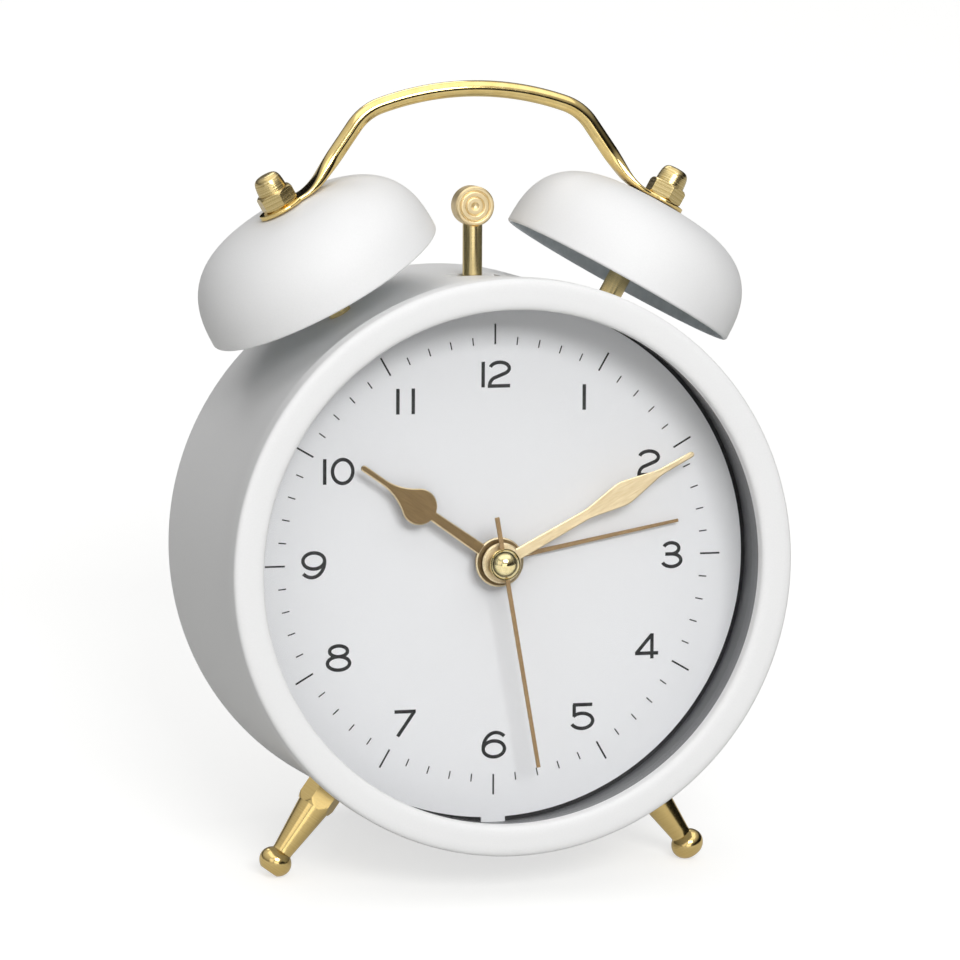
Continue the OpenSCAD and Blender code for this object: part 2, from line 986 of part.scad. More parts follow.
module third_wheel() {
  color(cream_plastic)
  lean()
  difference() {
    union() {
      toothed(third_at, third_y, thin_wheel, third_teeth, third_pitch, third_phase);
      toothed(third_at, centre_y, third_y - centre_y + lap, third_leaves, third_leaf_pitch, 0);
    }
    bore(third_at, third_pin + fit);
  }
}

module second_wheel() {
  color(cream_plastic)
  lean()
  union() {
    toothed(centre_at, second_y, thin_wheel, second_teeth, second_pitch, 0);
    toothed(centre_at, third_y, second_y - third_y + lap, second_leaves, second_leaf_pitch, 0);
    rod(centre_at, arbor_front, arbor_end, second_bore);
  }
}

module step_wheel() {
  color(cream_plastic)
  lean()
  difference() {
    union() {
      toothed(step_at, step_y, thin_wheel, step_teeth, step_pitch, 0);
      toothed(step_at, second_y, step_y - second_y + lap, step_leaves, step_leaf_pitch, step_phase);
    }
    bore(step_at, step_pin + fit);
  }
}

module rotor() {
  color(dark_steel)
  lean()
  difference() {
    union() {
      toothed(rotor_at, step_y, rotor_y - step_y + lap, rotor_leaves, rotor_leaf_pitch, rotor_phase);
      bar(rotor_at, rotor_y, rotor_thick, rotor_radius);
    }
    bore(rotor_at, rotor_pin + fit);
  }
}

module stator() {
  leg_shift = stator_size[0] - stator_leg;
  color(zinc_steel)
  lean()
  plate(stator_y, stator_thick)
  difference() {
    union() {
      translate(stator_at)
        square(stator_size);
      for (shift = [0, leg_shift])
        translate(stator_at + [shift, -stator_drop])
          square([stator_leg, stator_drop + over]);
    }
    translate(rotor_at)
      circle(r = rotor_radius + rotor_gap);
    translate(step_at)
      circle(r = step_boss + boss_gap);
  }
}

module coil() {
  core_z = stator_at[1] - stator_drop;
  wind_inset = stator_leg + coil_inset;
  color(copper)
  lean()
  union() {
    box([stator_at[0], stator_back, core_z], [stator_size[0], core_thick, stator_leg]);
    translate([stator_at[0] + wind_inset, stator_back + core_thick / 2, core_z + stator_leg / 2])
      rotate([0, 90, 0])
        cylinder(h = stator_size[0] - 2 * wind_inset, r = coil_radius);
  }
}

module circuit_board() {
  color(board_green)
  lean()
  box([board_at[0], cap_y - board_gap - board_thick, board_at[1]],
      [board_size[0], board_thick, board_size[1]]);
}

module time_shaft() {
  color(cream_plastic)
  lean()
  union() {
    toothed(time_at, motion_y, wheel_thick, time_teeth, time_pitch, time_phase);
    rod(time_at, shaft_foot, shaft_end, shaft_radius);
  }
}

module alarm_shaft() {
  color(cream_plastic)
  lean()
  union() {
    toothed(alarm_at, alarm_y, wheel_thick, alarm_leaves, alarm_leaf_pitch, alarm_phase);
    rod(alarm_at, shaft_foot, shaft_end, shaft_radius);
  }
}

module grip_knob(at) {
  flute_reach = knob_radius + flute_out;
  difference() {
    union() {
      bar(at, knob_y, knob_length, knob_radius);
      rod(at, cover_back + end_gap, knob_y + over, knob_collar);
    }
    for (i = [0 : flute_count - 1])
      let (turn = i * 360 / flute_count)
      bar(at + flute_reach * [cos(turn), sin(turn)], knob_y + knob_skirt, knob_length, flute_radius);
    rod(at, cover_back - over, shaft_end + end_gap, shaft_radius + snug);
  }
}

module time_knob() {
  color(black_plastic)
  lean()
  grip_knob(time_at);
}

module alarm_knob() {
  color(black_plastic)
  lean()
  grip_knob(alarm_at);
}

module rear_cover() {
  slot = switch_travel + switch_neck[0] / 2 + switch_slot_room;
  bay_width = bay_right - bay_left;
  bay_shell = bay_half + bay_wall;
  color(white_plastic)
  lean()
  difference() {
    union() {
      bar(centre_at, cover_y, cover_thick, cover_radius);
      box([bay_left - bay_wall, bay_front - bay_wall, battery_z - bay_shell],
          [bay_width + 2 * bay_wall, cover_y - bay_front + 2 * bay_wall, 2 * bay_shell]);
    }
    box([bay_left, bay_front, battery_z - bay_half], [bay_width, cover_back, 2 * bay_half]);
    for (at = [time_at, alarm_at])
      bar(at, cover_y - over, cover_thick + 2 * over, shaft_hole);
    four_columns()
      bar(centre_at, cover_y - over, cover_thick + 2 * over, screw_radius + screw_gap);
    four_columns()
      rod(centre_at, cover_back - screw_head_thick, cover_back + over, screw_head + screw_gap);
    box([switch_at[0] - slot, cover_y - over, switch_at[1] - switch_slot / 2],
        [2 * slot, cover_thick + 2 * over, switch_slot]);
  }
}

module cover_screws() {
  cross_y = cover_back - cross_width;
  color(zinc_steel)
  lean()
  four_columns()
  difference() {
    union() {
      rod(centre_at, cover_back - screw_head_thick, cover_back, screw_head);
      rod(centre_at, cover_y - screw_length, cover_y + over, screw_radius);
    }
    box([-cross_length / 2, cross_y, -cross_width / 2], [cross_length, over, cross_width]);
    box([-cross_width / 2, cross_y, -cross_length / 2], [cross_width, over, cross_length]);
  }
}

// Block centred on the switch, from one depth to another
module switch_block(size, from, to) {
  box([switch_at[0] - size[0] / 2, from, switch_at[1] - size[1] / 2], [size[0], to - from, size[1]]);
}

module alarm_switch() {
  inner_y = cover_y - switch_gap;
  outer_y = cover_back + switch_gap;
  color(black_plastic)
  lean()
  union() {
    switch_block(switch_foot, inner_y - switch_foot_thick, inner_y);
    switch_block(switch_neck, inner_y - switch_foot_thick / 2, outer_y + switch_grip_thick / 2);
    switch_block(switch_grip, outer_y, outer_y + switch_grip_thick);
    switch_block([switch_ridge, switch_grip[1]], outer_y, outer_y + switch_ridge_rise);
  }
}

module battery_door() {
  y = cover_back + door_gap;
  half = bay_half + door_rim;
  left = bay_left - door_rim;
  width = bay_right - bay_left + 2 * door_rim;
  middle = left + width / 2;
  color(white_plastic)
  lean()
  union() {
    box([left, y, battery_z - half], [width, door_thick, 2 * half]);
    for (i = [0 : rib_count - 1])
      box([middle - rib_width / 2, y, battery_z + (i - (rib_count - 1) / 2) * rib_step],
          [rib_width, door_thick + rib_rise, rib_thick]);
  }
}

module battery() {
  color(battery_grey)
  lean()
  translate([battery_left, battery_y, battery_z])
    rotate([0, 90, 0])
      union() {
        cylinder(h = battery_length, r = battery_radius);
        cylinder(h = battery_length + button_length, r = button_radius);
      }
}

module contact_plate() {
  color(zinc_steel)
  lean()
  box([bay_right - contact_thick, battery_y - contact_half, battery_z - contact_half],
      [contact_thick, 2 * contact_half, 2 * contact_half]);
}

module contact_leaf() {
  reach = battery_left - bay_left;
  bend = 2;
  tip = 1.2;
  wrap = 0.4;
  color(zinc_steel)
  lean()
  translate([bay_left, battery_y, battery_z - leaf_half])
    linear_extrude(2 * leaf_half)
      polygon([
        [0, -contact_half], [contact_thick, -contact_half], [contact_thick, bend],
        [reach - fit, -tip], [reach, wrap - tip], [contact_thick + end_gap, bend + tip],
        [contact_thick, contact_half], [0, contact_half]
      ]);
}

module bell_shell() {
  inner_shoulder = shoulder - bell_wall;
  inner_crown = crown_radius - bell_wall;
  inner_land = sqrt(inner_crown * inner_crown - pow(land_z - bell_wall - crown_z, 2));
  outside = concat(
    [[bell_radius, 0]],
    arc(shoulder_x, shoulder_z, shoulder, flare_angle, 90 - crown_angle, shoulder_steps),
    arc(0, crown_z, crown_radius, 90 - crown_angle, 90 - asin(land_radius / crown_radius), crown_steps)
  );
  inside = concat(
    [[stud_hole, land_z - bell_wall]],
    arc(0, crown_z, inner_crown, 90 - asin(inner_land / inner_crown), 90 - crown_angle, crown_steps),
    arc(shoulder_x, shoulder_z, inner_shoulder, 90 - crown_angle, flare_angle, shoulder_steps),
    [[bell_radius - bell_wall / cos(flare_angle), 0]]
  );
  translate([0, 0, bell_reach])
    rotate_extrude()
      polygon(concat(outside, [[stud_hole, land_z]], inside));
}

module left_bell() {
  color(white_paint)
  lean()
  outward(-bell_angle, mid_y)
  bell_shell();
}

module right_bell() {
  color(white_paint)
  lean()
  outward(bell_angle, mid_y)
  bell_shell();
}

module bell_posts() {
  foot = case_radius + snug;
  post_top = seat - bell_wall;
  color(dull_brass)
  lean()
  both_bells()
  union() {
    stud(case_inner - stud_drop, foot + over, stud_radius);
    stud(foot, post_top, post_radius);
    stud(post_top - over, nut_base + stud_rise, stud_radius);
  }
}

module post_nuts() {
  top = sqrt(case_inner * case_inner - nut_corner * nut_corner) - snug;
  color(zinc_steel)
  lean()
  both_bells()
  difference() {
    hex(top - nut_thick, top, nut_corner);
    stud(top - nut_thick - over, top + over, stud_radius + snug);
  }
}

module acorn_nuts() {
  dome_z = nut_base + acorn_hex + acorn_neck;
  color(gold_brass)
  lean()
  both_bells()
  difference() {
    union() {
      rotate(acorn_turn)
        hex(nut_base, nut_base + acorn_hex, nut_corner);
      stud(nut_base + acorn_hex - over, dome_z, acorn_dome);
      translate([0, 0, dome_z])
        sphere(r = acorn_dome);
    }
    stud(nut_base - over, nut_base + stud_rise + end_gap, stud_radius + snug);
  }
}

module rod_arc(x, z, radius, start, end, thick) {
  translate([x, 0, z])
    rotate([90, 0, 0])
      rotate([0, 0, start])
        rotate_extrude(angle = end - start)
          translate([radius, 0])
            circle(r = thick);
}

module handle_side() {
  flat_half = tab_half - snug;
  rod_arc(corner_x, corner_z, corner_radius, 90 - leg_slope, 90 - arch_turn, rod_radius);
  translate([leg_foot_x, 0, leg_foot_z])
    rotate([0, leg_slope - 90, 0])
      stud(-weld, leg_length + weld, weld_radius);
  rod_arc(bend_x, bend_z, foot_bend, 270 - leg_slope, 270 - bell_angle, rod_radius);
  rotate([0, bell_angle, 0]) {
    hull() {
      translate([rod_start - weld, 0, rod_seat])
        rotate([0, 90, 0])
          cylinder(h = weld_slab, r = weld_radius, $fn = weld_facets);
      translate([weld - tab_start, -flat_half, seat + snug])
        cube([weld_slab, 2 * flat_half, tab_thick - 2 * snug]);
    }
    translate([0, 0, seat])
      linear_extrude(tab_thick)
        difference() {
          union() {
            circle(r = tab_end);
            translate([-tab_start, -tab_half])
              square([tab_start, 2 * tab_half]);
          }
          circle(r = stud_hole);
        }
  }
}

module handle() {
  color(gold_brass)
  lean()
  translate([0, mid_y, 0])
  union() {
    rod_arc(0, arch_z, arch_radius, 90 - arch_turn - arch_weld, 90 + arch_turn + arch_weld, weld_radius);
    handle_side();
    mirror([1, 0, 0])
      handle_side();
  }
}

module hammer_head() {
  front = mid_y - head_thick / 2;
  back = front + head_thick;
  chamfer = 0.35;
  rim = head_radius - chamfer;
  dimple = 0.9;
  dimple_depth = 0.5;
  groove_half = 0.15;
  groove_depth = 0.25;
  grooves = [1.85, 3.05];
  outline = concat(
    [[0, front + dimple_depth], [dimple, front]],
    [for (r = grooves) each [[r - groove_half, front], [r, front + groove_depth], [r + groove_half, front]]],
    [[rim, front], [head_radius, front + chamfer], [head_radius, back - chamfer], [rim, back], [0, back]]
  );
  color(gold_brass)
  lean()
  difference() {
    translate([0, 0, head_height])
      turned()
        polygon(outline);
    translate([0, mid_y, head_height - head_radius])
      stud(-over, spigot_length + fit, spigot_radius + snug);
  }
}

module hammer_stem() {
  head_base = head_height - sqrt(head_radius * head_radius - stem_radius * stem_radius);
  color(gold_brass)
  lean()
  union() {
    difference() {
      translate([0, mid_y, 0])
        stud(stem_base, head_base, stem_radius);
      bore([0, head_height], head_radius + snug);
    }
    translate([0, mid_y, 0])
      stud(stem_base + over, head_height - head_radius + spigot_length, spigot_radius);
  }
}

module hammer_lever() {
  fork_half = crank_pin + fork_gap;
  fork_top = crank_drop - crank_pin - end_gap;
  color(black_plastic)
  lean()
  difference() {
    union() {
      plate(lever_y, lever_thick)
        difference() {
          union() {
            translate(pivot_at)
              circle(r = lever_boss);
            translate(pivot_at - [lever_half, lever_tail])
              square([2 * lever_half, lever_tail]);
          }
          translate(pivot_at - [fork_half, lever_tail + over])
            square([2 * fork_half, lever_tail - fork_top + over]);
        }
      translate([0, mid_y, 0])
        stud(socket_base, socket_base + socket_height, socket_radius);
    }
    bore(pivot_at, pivot_pin + fit);
    translate([0, mid_y, 0])
      stud(stem_base, socket_base + socket_height + over, stem_radius + snug);
  }
}

module hammer_pin() {
  head_y = lever_y - end_gap;
  color(zinc_steel)
  lean()
  union() {
    rod(pivot_at, head_y - pivot_head_thick / 2, ringer_back, pivot_pin);
    rod(pivot_at, head_y - pivot_head_thick, head_y, pivot_head);
  }
}

module ringer_frame() {
  lever_back = lever_y + lever_thick;
  color(dark_steel)
  lean()
  difference() {
    union() {
      box([-ringer_half, ringer_y, ringer_bottom],
          [2 * ringer_half, ringer_thick, ringer_top - ringer_bottom]);
      for (side = [-1, 1])
        rod([side * ringer_post_x, ringer_post_z], frame_back, ringer_y + lap, ringer_post);
      rod(pivot_at, lever_back + end_gap, ringer_y + lap, pivot_head);
      rod(crank_at, crank_y + crank_thick + end_gap, ringer_y + lap, crank_hub);
      rod(crank_at, crank_y - end_gap, ringer_y + lap, pivot_pin);
    }
    bore(pivot_at, pivot_pin + snug);
    rod(motor_at, ringer_y - over, ringer_back + over, motor_hole);
  }
}

module crank_wheel() {
  color(cream_plastic)
  lean()
  difference() {
    union() {
      toothed(crank_at, crank_y, crank_thick, crank_teeth, crank_pitch, 0);
      rod(crank_at - [0, crank_throw], lever_y - end_gap, crank_y + crank_thick / 2, crank_pin);
    }
    bore(crank_at, pivot_pin + fit);
  }
}

module motor_pinion() {
  color(dull_brass)
  lean()
  union() {
    toothed(motor_at, crank_y, crank_thick, motor_leaves, motor_pitch, motor_phase);
    rod(motor_at, crank_y, ringer_back + motor_shaft_end, motor_shaft);
  }
}

module bell_motor() {
  motor_end = ringer_back + motor_length;
  color(zinc_steel)
  lean()
  difference() {
    union() {
      rod(motor_at, ringer_back, motor_end, motor_radius);
      rod(motor_at, motor_end - over, motor_end + motor_hub_length, motor_hub);
    }
    rod(motor_at, ringer_back - over, ringer_back + motor_shaft_end + end_gap, motor_shaft + fit);
  }
}

module feet() {
  base = case_radius + snug;
  collar_end = base + foot_collar;
  shank_end = foot_reach - ball_flat;
  color(gold_brass)
  lean()
  both_feet()
  difference() {
    union() {
      stud(base - foot_stud_length, base + over, foot_stud);
      intersection() {
        hex(base, collar_end, nut_corner);
        translate([0, 0, base - over])
          cylinder(h = foot_collar + over, r1 = collar_flare, r2 = collar_rim);
      }
      translate([0, 0, collar_end - over])
        cylinder(h = shank_end - collar_end + over, r1 = foot_shank, r2 = foot_neck);
      translate([0, 0, foot_reach])
        sphere(r = ball_radius);
    }
    stud(foot_reach + ball_flat, foot_reach + ball_radius + over, ball_radius);
  }
}

module foot_nuts() {
  top = sqrt(case_inner * case_inner - foot_nut_corner * foot_nut_corner) - snug;
  color(zinc_steel)
  lean()
  both_feet()
  difference() {
    hex(top - foot_nut_thick, top, foot_nut_corner);
    stud(top - foot_nut_thick - over, top + over, foot_stud + snug);
  }
}

case_drum();
bezel();
lens();
spacer_ring();
dial();
dial_frame();
alarm_hand();
hour_hand();
minute_hand();
second_hand();
second_cap();
movement_base();
movement_cap();
alarm_wheel();
hour_wheel();
motion_wheel();
cannon_pinion();
centre_wheel();
third_wheel();
second_wheel();
step_wheel();
rotor();
stator();
coil();
circuit_board();
time_shaft();
time_knob();
alarm_shaft();
alarm_knob();
rear_cover();
cover_screws();
alarm_switch();
battery_door();
battery();
contact_plate();
contact_leaf();
left_bell();
right_bell();
bell_posts();
post_nuts();
acorn_nuts();
handle();
hammer_head();
hammer_stem();
hammer_lever();
hammer_pin();
ringer_frame();
crank_wheel();
motor_pinion();
bell_motor();
feet();
foot_nuts();
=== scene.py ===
import math

import bmesh
import bpy
import numpy as np
from mathutils import Matrix, Vector


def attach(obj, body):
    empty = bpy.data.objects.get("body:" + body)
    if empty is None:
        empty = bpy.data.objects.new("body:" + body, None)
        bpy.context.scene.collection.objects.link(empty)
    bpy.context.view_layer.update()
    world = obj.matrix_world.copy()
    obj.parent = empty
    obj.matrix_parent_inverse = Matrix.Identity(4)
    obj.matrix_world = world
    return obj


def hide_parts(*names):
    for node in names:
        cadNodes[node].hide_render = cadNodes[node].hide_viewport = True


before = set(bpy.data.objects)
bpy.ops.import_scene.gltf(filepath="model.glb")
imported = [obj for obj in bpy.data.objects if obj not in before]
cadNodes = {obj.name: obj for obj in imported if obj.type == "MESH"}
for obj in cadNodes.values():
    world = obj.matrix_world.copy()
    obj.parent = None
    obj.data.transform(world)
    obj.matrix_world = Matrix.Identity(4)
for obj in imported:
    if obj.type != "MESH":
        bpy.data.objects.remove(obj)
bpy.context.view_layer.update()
print("frame loaded:", len(cadNodes), "nodes")

# clock millimetres: x right, y back along the dial axis, z towards 12,
# with the origin on the dial axis at the bezel's edge
stance = {
    "caseRadius": 56.25,
    "caseBack": 59.8,
    "hem": 0.8,
    "ball": 3.25,
    "footDepth": 21.0,
    "footDeg": 35.7,
    "footReach": 74.5,
    "topDepth": 30.5,
    "hammerReach": 70.2,
    "hourDeg": 304.8,
    "minuteDeg": 62.3,
}


def leanOf(s):
    # slope of the line that touches the balls of the feet and the rear hem from below
    run = s["caseBack"] - s["hem"] - s["footDepth"]
    rise = s["footReach"] * math.cos(math.radians(s["footDeg"])) - (s["caseRadius"] - s["hem"])
    return math.asin((s["ball"] - s["hem"]) / math.hypot(run, rise)) + math.atan2(rise, run)


lean = leanOf(stance)
leanSin, leanCos = math.sin(lean), math.cos(lean)
hemDepth, hemDrop = stance["caseBack"] - stance["hem"], stance["caseRadius"] - stance["hem"]
footDrop = stance["footReach"] * math.cos(math.radians(stance["footDeg"]))
footAlong = stance["footDepth"] * leanCos - footDrop * leanSin
hemAlong = hemDepth * leanCos - hemDrop * leanSin
standLift = stance["hem"] + hemDepth * leanSin + hemDrop * leanCos
standMiddle = (footAlong + hemAlong) / 2
axisPlace = (0, -standMiddle / 1000, standLift / 1000)


def turnToTable(v):
    # turns clock directions about x by the lean
    x, y, z = np.moveaxis(np.asarray(v, float), -1, 0)
    return np.stack([x, y * leanCos + z * leanSin, z * leanCos - y * leanSin], -1)


def standUp(points):
    # clock millimetres to metres on the table
    return (turnToTable(points) + np.array([0, -standMiddle, standLift])) / 1000


def clockTurn(angle=0.0):
    # turn of a pattern into the clock's own axes, and then about the dial axis, in degrees
    leaned = Matrix.Rotation(-lean, 3, "X") @ Matrix.Rotation(math.radians(angle), 3, "Y")
    return tuple(leaned.to_euler("XYZ"))


def linear(hexColour):
    # sRGB hex to linear light
    v = np.array([int(hexColour[i:i + 2], 16) for i in (1, 3, 5)]) / 255
    v = np.where(v <= 0.04045, v / 12.92, ((v + 0.055) / 1.055) ** 2.4)
    return tuple(v) + (1.0,)


def addNode(tree, kind, settings=None, links=None):
    # adds a node, sets its properties or input values and links its inputs
    made = tree.nodes.new(kind)
    for key, value in (settings or {}).items():
        if isinstance(key, str) and hasattr(made, key):
            setattr(made, key, value)
        else:
            made.inputs[key].default_value = value
    for key, source in (links or {}).items():
        tree.links.new(source, made.inputs[key])
    return made


def newMaterial(s):
    # an empty material with its shader, whose plain values come from the settings
    made = bpy.data.materials.new(s["name"])
    made.use_nodes = True
    tree = made.node_tree
    tree.nodes.clear()
    shader = addNode(tree, "ShaderNodeBsdfPrincipled", s.get("plain"))
    addNode(tree, "ShaderNodeOutputMaterial", links={"Surface": shader.outputs[0]})
    return made, tree, shader


# where the two tones stand in a noise, and how much finer noise it carries
pattern = {"stops": (0.3, 0.7), "grainDetail": 3.0, "lineDetail": 2.0}


def dress(tree, shader, s, height):
    # one height pattern gives two tones, a spread of roughness and a bump
    tones = addNode(tree, "ShaderNodeValToRGB", links={"Fac": height})
    ends = zip(tones.color_ramp.elements, pattern["stops"], (s["dark"], s["light"]))
    for stop, place, tone in ends:
        stop.position = place
        stop.color = linear(tone)
    limits = {"To Min": s["rough"][0], "To Max": s["rough"][1]}
    spread = addNode(tree, "ShaderNodeMapRange", limits, {"Value": height})
    depth = {"Strength": s["bump"], "Distance": s["bumpMm"] / 1000}
    bump = addNode(tree, "ShaderNodeBump", depth, {"Height": height})
    tree.links.new(tones.outputs[0], shader.inputs["Base Color"])
    tree.links.new(spread.outputs[0], shader.inputs["Roughness"])
    tree.links.new(bump.outputs[0], shader.inputs["Normal"])


def grainFinish(s):
    # noise with cells grainMm across, stretched along the piece's axes where it was brushed
    made, tree, shader = newMaterial(s)
    coords = addNode(tree, "ShaderNodeTexCoord")
    cell = [s["grainMm"] / 1000 * k for k in s.get("stretch", (1, 1, 1))]
    place = {"vector_type": "TEXTURE", "Location": axisPlace,
             "Rotation": s.get("turn", clockTurn()), "Scale": cell}
    mapped = addNode(tree, "ShaderNodeMapping", place, {"Vector": coords.outputs["Object"]})
    grain = {"Scale": 1.0, "Detail": pattern["grainDetail"]}
    noise = addNode(tree, "ShaderNodeTexNoise", grain, {"Vector": mapped.outputs[0]})
    dress(tree, shader, s, noise.outputs[0])
    return made


def turnedFinish(s):
    # lathe lines: noise of the distance from an axis along the dial axis, lineMm apart;
    # drawn coarser than real ones so that they show
    made, tree, shader = newMaterial(s)
    coords = addNode(tree, "ShaderNodeTexCoord")
    centre = tuple(standUp((s["at"][0], 0, s["at"][1])))
    place = {"vector_type": "TEXTURE", "Location": centre, "Rotation": clockTurn(),
             "Scale": (0.001, 0.001, 0.001)}
    mapped = addNode(tree, "ShaderNodeMapping", place, {"Vector": coords.outputs["Object"]})
    across = {"operation": "MULTIPLY", 1: (1, 0, 1)}
    flat = addNode(tree, "ShaderNodeVectorMath", across, {0: mapped.outputs[0]})
    reach = addNode(tree, "ShaderNodeVectorMath", {"operation": "LENGTH"}, {0: flat.outputs[0]})
    lines = {"noise_dimensions": "1D", "Scale": 1 / s["lineMm"], "Detail": pattern["lineDetail"]}
    noise = addNode(tree, "ShaderNodeTexNoise", lines, {"W": reach.outputs["Value"]})
    dress(tree, shader, s, noise.outputs[0])
    return made


def glassFinish(s):
    # clear pane: lamps pass straight through, so the dial behind it is lit
    made, tree, shader = newMaterial(s)
    coords = addNode(tree, "ShaderNodeTexCoord")
    wave = {"Scale": 1000 / s["grainMm"]}
    noise = addNode(tree, "ShaderNodeTexNoise", wave, {"Vector": coords.outputs["Object"]})
    depth = {"Strength": s["bump"], "Distance": s["bumpMm"] / 1000}
    bump = addNode(tree, "ShaderNodeBump", depth, {"Height": noise.outputs[0]})
    tree.links.new(bump.outputs[0], shader.inputs["Normal"])
    clear = addNode(tree, "ShaderNodeBsdfTransparent")
    path = addNode(tree, "ShaderNodeLightPath")
    rays = {0: path.outputs["Is Shadow Ray"], 1: path.outputs["Is Diffuse Ray"]}
    lit = addNode(tree, "ShaderNodeMath", {"operation": "MAXIMUM"}, rays)
    both = {0: lit.outputs[0], 1: shader.outputs[0], 2: clear.outputs[0]}
    mixed = addNode(tree, "ShaderNodeMixShader", links=both)
    tree.links.new(mixed.outputs[0], tree.nodes["Material Output"].inputs["Surface"])
    return made


metal = {"Metallic": 1.0}
# powder-coated steel: matt white, with a fine pebbled skin
whiteCoat = grainFinish({
    "name": "white powder coat", "light": "#f4f4f4", "dark": "#f1f1f1", "grainMm": 0.3,
    "rough": (0.5, 0.62), "bump": 0.06, "bumpMm": 0.02})
# the bells' bare inside: grey primer, thin and a little cloudy
slatePrimer = grainFinish({
    "name": "slate grey primer", "light": "#dce2e6", "dark": "#ccd3d8", "grainMm": 1.6,
    "rough": (0.45, 0.6), "bump": 0.15, "bumpMm": 0.04})
# lacquered dial sheet: near white, even, with a trace of print grain
dialLacquer = grainFinish({
    "name": "white dial lacquer", "light": "#f8f9fb", "dark": "#f5f6f8", "grainMm": 0.7,
    "rough": (0.55, 0.65), "bump": 0.05, "bumpMm": 0.01})
# screen-printed ink: dense black, slightly broken
printInk = grainFinish({
    "name": "black print ink", "light": "#151516", "dark": "#0c0c0d", "grainMm": 0.25,
    "rough": (0.5, 0.7), "bump": 0.1, "bumpMm": 0.01})
# moulded ring: satin grey with moulding grain
greyAbs = grainFinish({
    "name": "dark grey ABS", "light": "#717274", "dark": "#646567", "grainMm": 0.35,
    "rough": (0.45, 0.6), "bump": 0.2, "bumpMm": 0.03})
# moulded knobs and switch: deep satin black
blackAbs = grainFinish({
    "name": "black ABS", "light": "#1a1a1b", "dark": "#121213", "grainMm": 0.35,
    "rough": (0.4, 0.55), "bump": 0.2, "bumpMm": 0.03})
# rear cover: satin off-white with spark-eroded grain
whiteAbs = grainFinish({
    "name": "white ABS", "light": "#ebebe9", "dark": "#e5e5e2", "grainMm": 0.4,
    "rough": (0.42, 0.55), "bump": 0.25, "bumpMm": 0.03})
# wheels: waxy, slightly yellow
ivoryAcetal = grainFinish({
    "name": "ivory acetal", "light": "#ece4cf", "dark": "#e3dac2", "grainMm": 0.5,
    "rough": (0.35, 0.45), "bump": 0.1, "bumpMm": 0.02})
# movement housing: plain warm grey
housingAbs = grainFinish({
    "name": "housing ABS", "light": "#dcdcd6", "dark": "#d2d2cb", "grainMm": 0.5,
    "rough": (0.4, 0.55), "bump": 0.2, "bumpMm": 0.03})
# brass plate: bright gold with faint polishing waves
goldPlate = grainFinish({
    "name": "polished brass plate", "light": "#f0d794", "dark": "#e6c982", "grainMm": 2.2,
    "rough": (0.07, 0.16), "bump": 0.12, "bumpMm": 0.06, "plain": metal})
# the cap: paler and sharper than the plate
paleBrass = grainFinish({
    "name": "polished yellow brass", "light": "#f2e4b2", "dark": "#e6d59c", "grainMm": 1.4,
    "rough": (0.07, 0.14), "bump": 0.08, "bumpMm": 0.04, "plain": metal})
# stem and posts: satin, with lathe lines that show as fine bands
turnedBrass = turnedFinish({
    "name": "turned brass", "light": "#ead6a0", "dark": "#d8c086", "at": (0, 0), "lineMm": 0.14,
    "rough": (0.18, 0.3), "bump": 0.1, "bumpMm": 0.02, "plain": metal})
# feet: as turned, but brighter
brightBrass = turnedFinish({
    "name": "bright turned brass", "light": "#ebd190", "dark": "#dcbd78", "at": (0, 0),
    "lineMm": 0.16, "rough": (0.12, 0.24), "bump": 0.07, "bumpMm": 0.02, "plain": metal})
# nuts: rough-turned, with ridges that catch the light
nutBrass = turnedFinish({
    "name": "ridged turned brass", "light": "#dcc893", "dark": "#bfa971", "at": (0, 0),
    "lineMm": 0.3, "rough": (0.2, 0.34), "bump": 0.5, "bumpMm": 0.05, "plain": metal})
# hammer's face: rings about its own middle
faceBrass = turnedFinish({
    "name": "faced brass", "light": "#f2dfb4", "dark": "#e2ca9a",
    "at": (0, stance["hammerReach"]), "lineMm": 0.14, "rough": (0.34, 0.5), "bump": 0.25,
    "bumpMm": 0.02, "plain": metal})
# hour hand: brown anodised sheet, brushed along the hand, with lines coarser than real ones
bronzeBrushed = grainFinish({
    "name": "bronze anodised aluminium", "light": "#846f50", "dark": "#725f43", "grainMm": 0.16,
    "stretch": (1, 1, 14), "turn": clockTurn(stance["hourDeg"]), "rough": (0.36, 0.5),
    "bump": 0.2, "bumpMm": 0.01, "plain": metal})
# minute hand: pale gold sheet, brushed along the hand, with lines coarser than real ones
champagneBrushed = grainFinish({
    "name": "champagne anodised aluminium", "light": "#eeddb8", "dark": "#dcc69b",
    "grainMm": 0.2, "stretch": (1, 1, 10), "turn": clockTurn(stance["minuteDeg"]),
    "rough": (0.32, 0.48), "bump": 0.25, "bumpMm": 0.012, "plain": metal})
# the hands' bevels: freshly cut, brighter than the sheet
edgeBright = grainFinish({
    "name": "cut aluminium edge", "light": "#f0e2c2", "dark": "#dcc79c", "grainMm": 0.3,
    "rough": (0.25, 0.38), "bump": 0.1, "bumpMm": 0.01, "plain": metal})
# thin hands: dull brown sheet
thinChampagne = grainFinish({
    "name": "brown anodised aluminium", "light": "#a58b68", "dark": "#8d7555", "grainMm": 0.3,
    "rough": (0.35, 0.5), "bump": 0.15, "bumpMm": 0.01, "plain": metal})
# zinc plate: bluish grey, slightly clouded
zincPlate = grainFinish({
    "name": "zinc plated steel", "light": "#bcbec4", "dark": "#a8abb2", "grainMm": 0.9,
    "rough": (0.28, 0.45), "bump": 0.15, "bumpMm": 0.02, "plain": metal})
# magnet: dark, dull and grainy
magnetGrey = grainFinish({
    "name": "sintered magnet", "light": "#4c4d50", "dark": "#3a3b3e", "grainMm": 0.3,
    "rough": (0.5, 0.65), "bump": 0.3, "bumpMm": 0.02, "plain": {"Metallic": 0.6}})
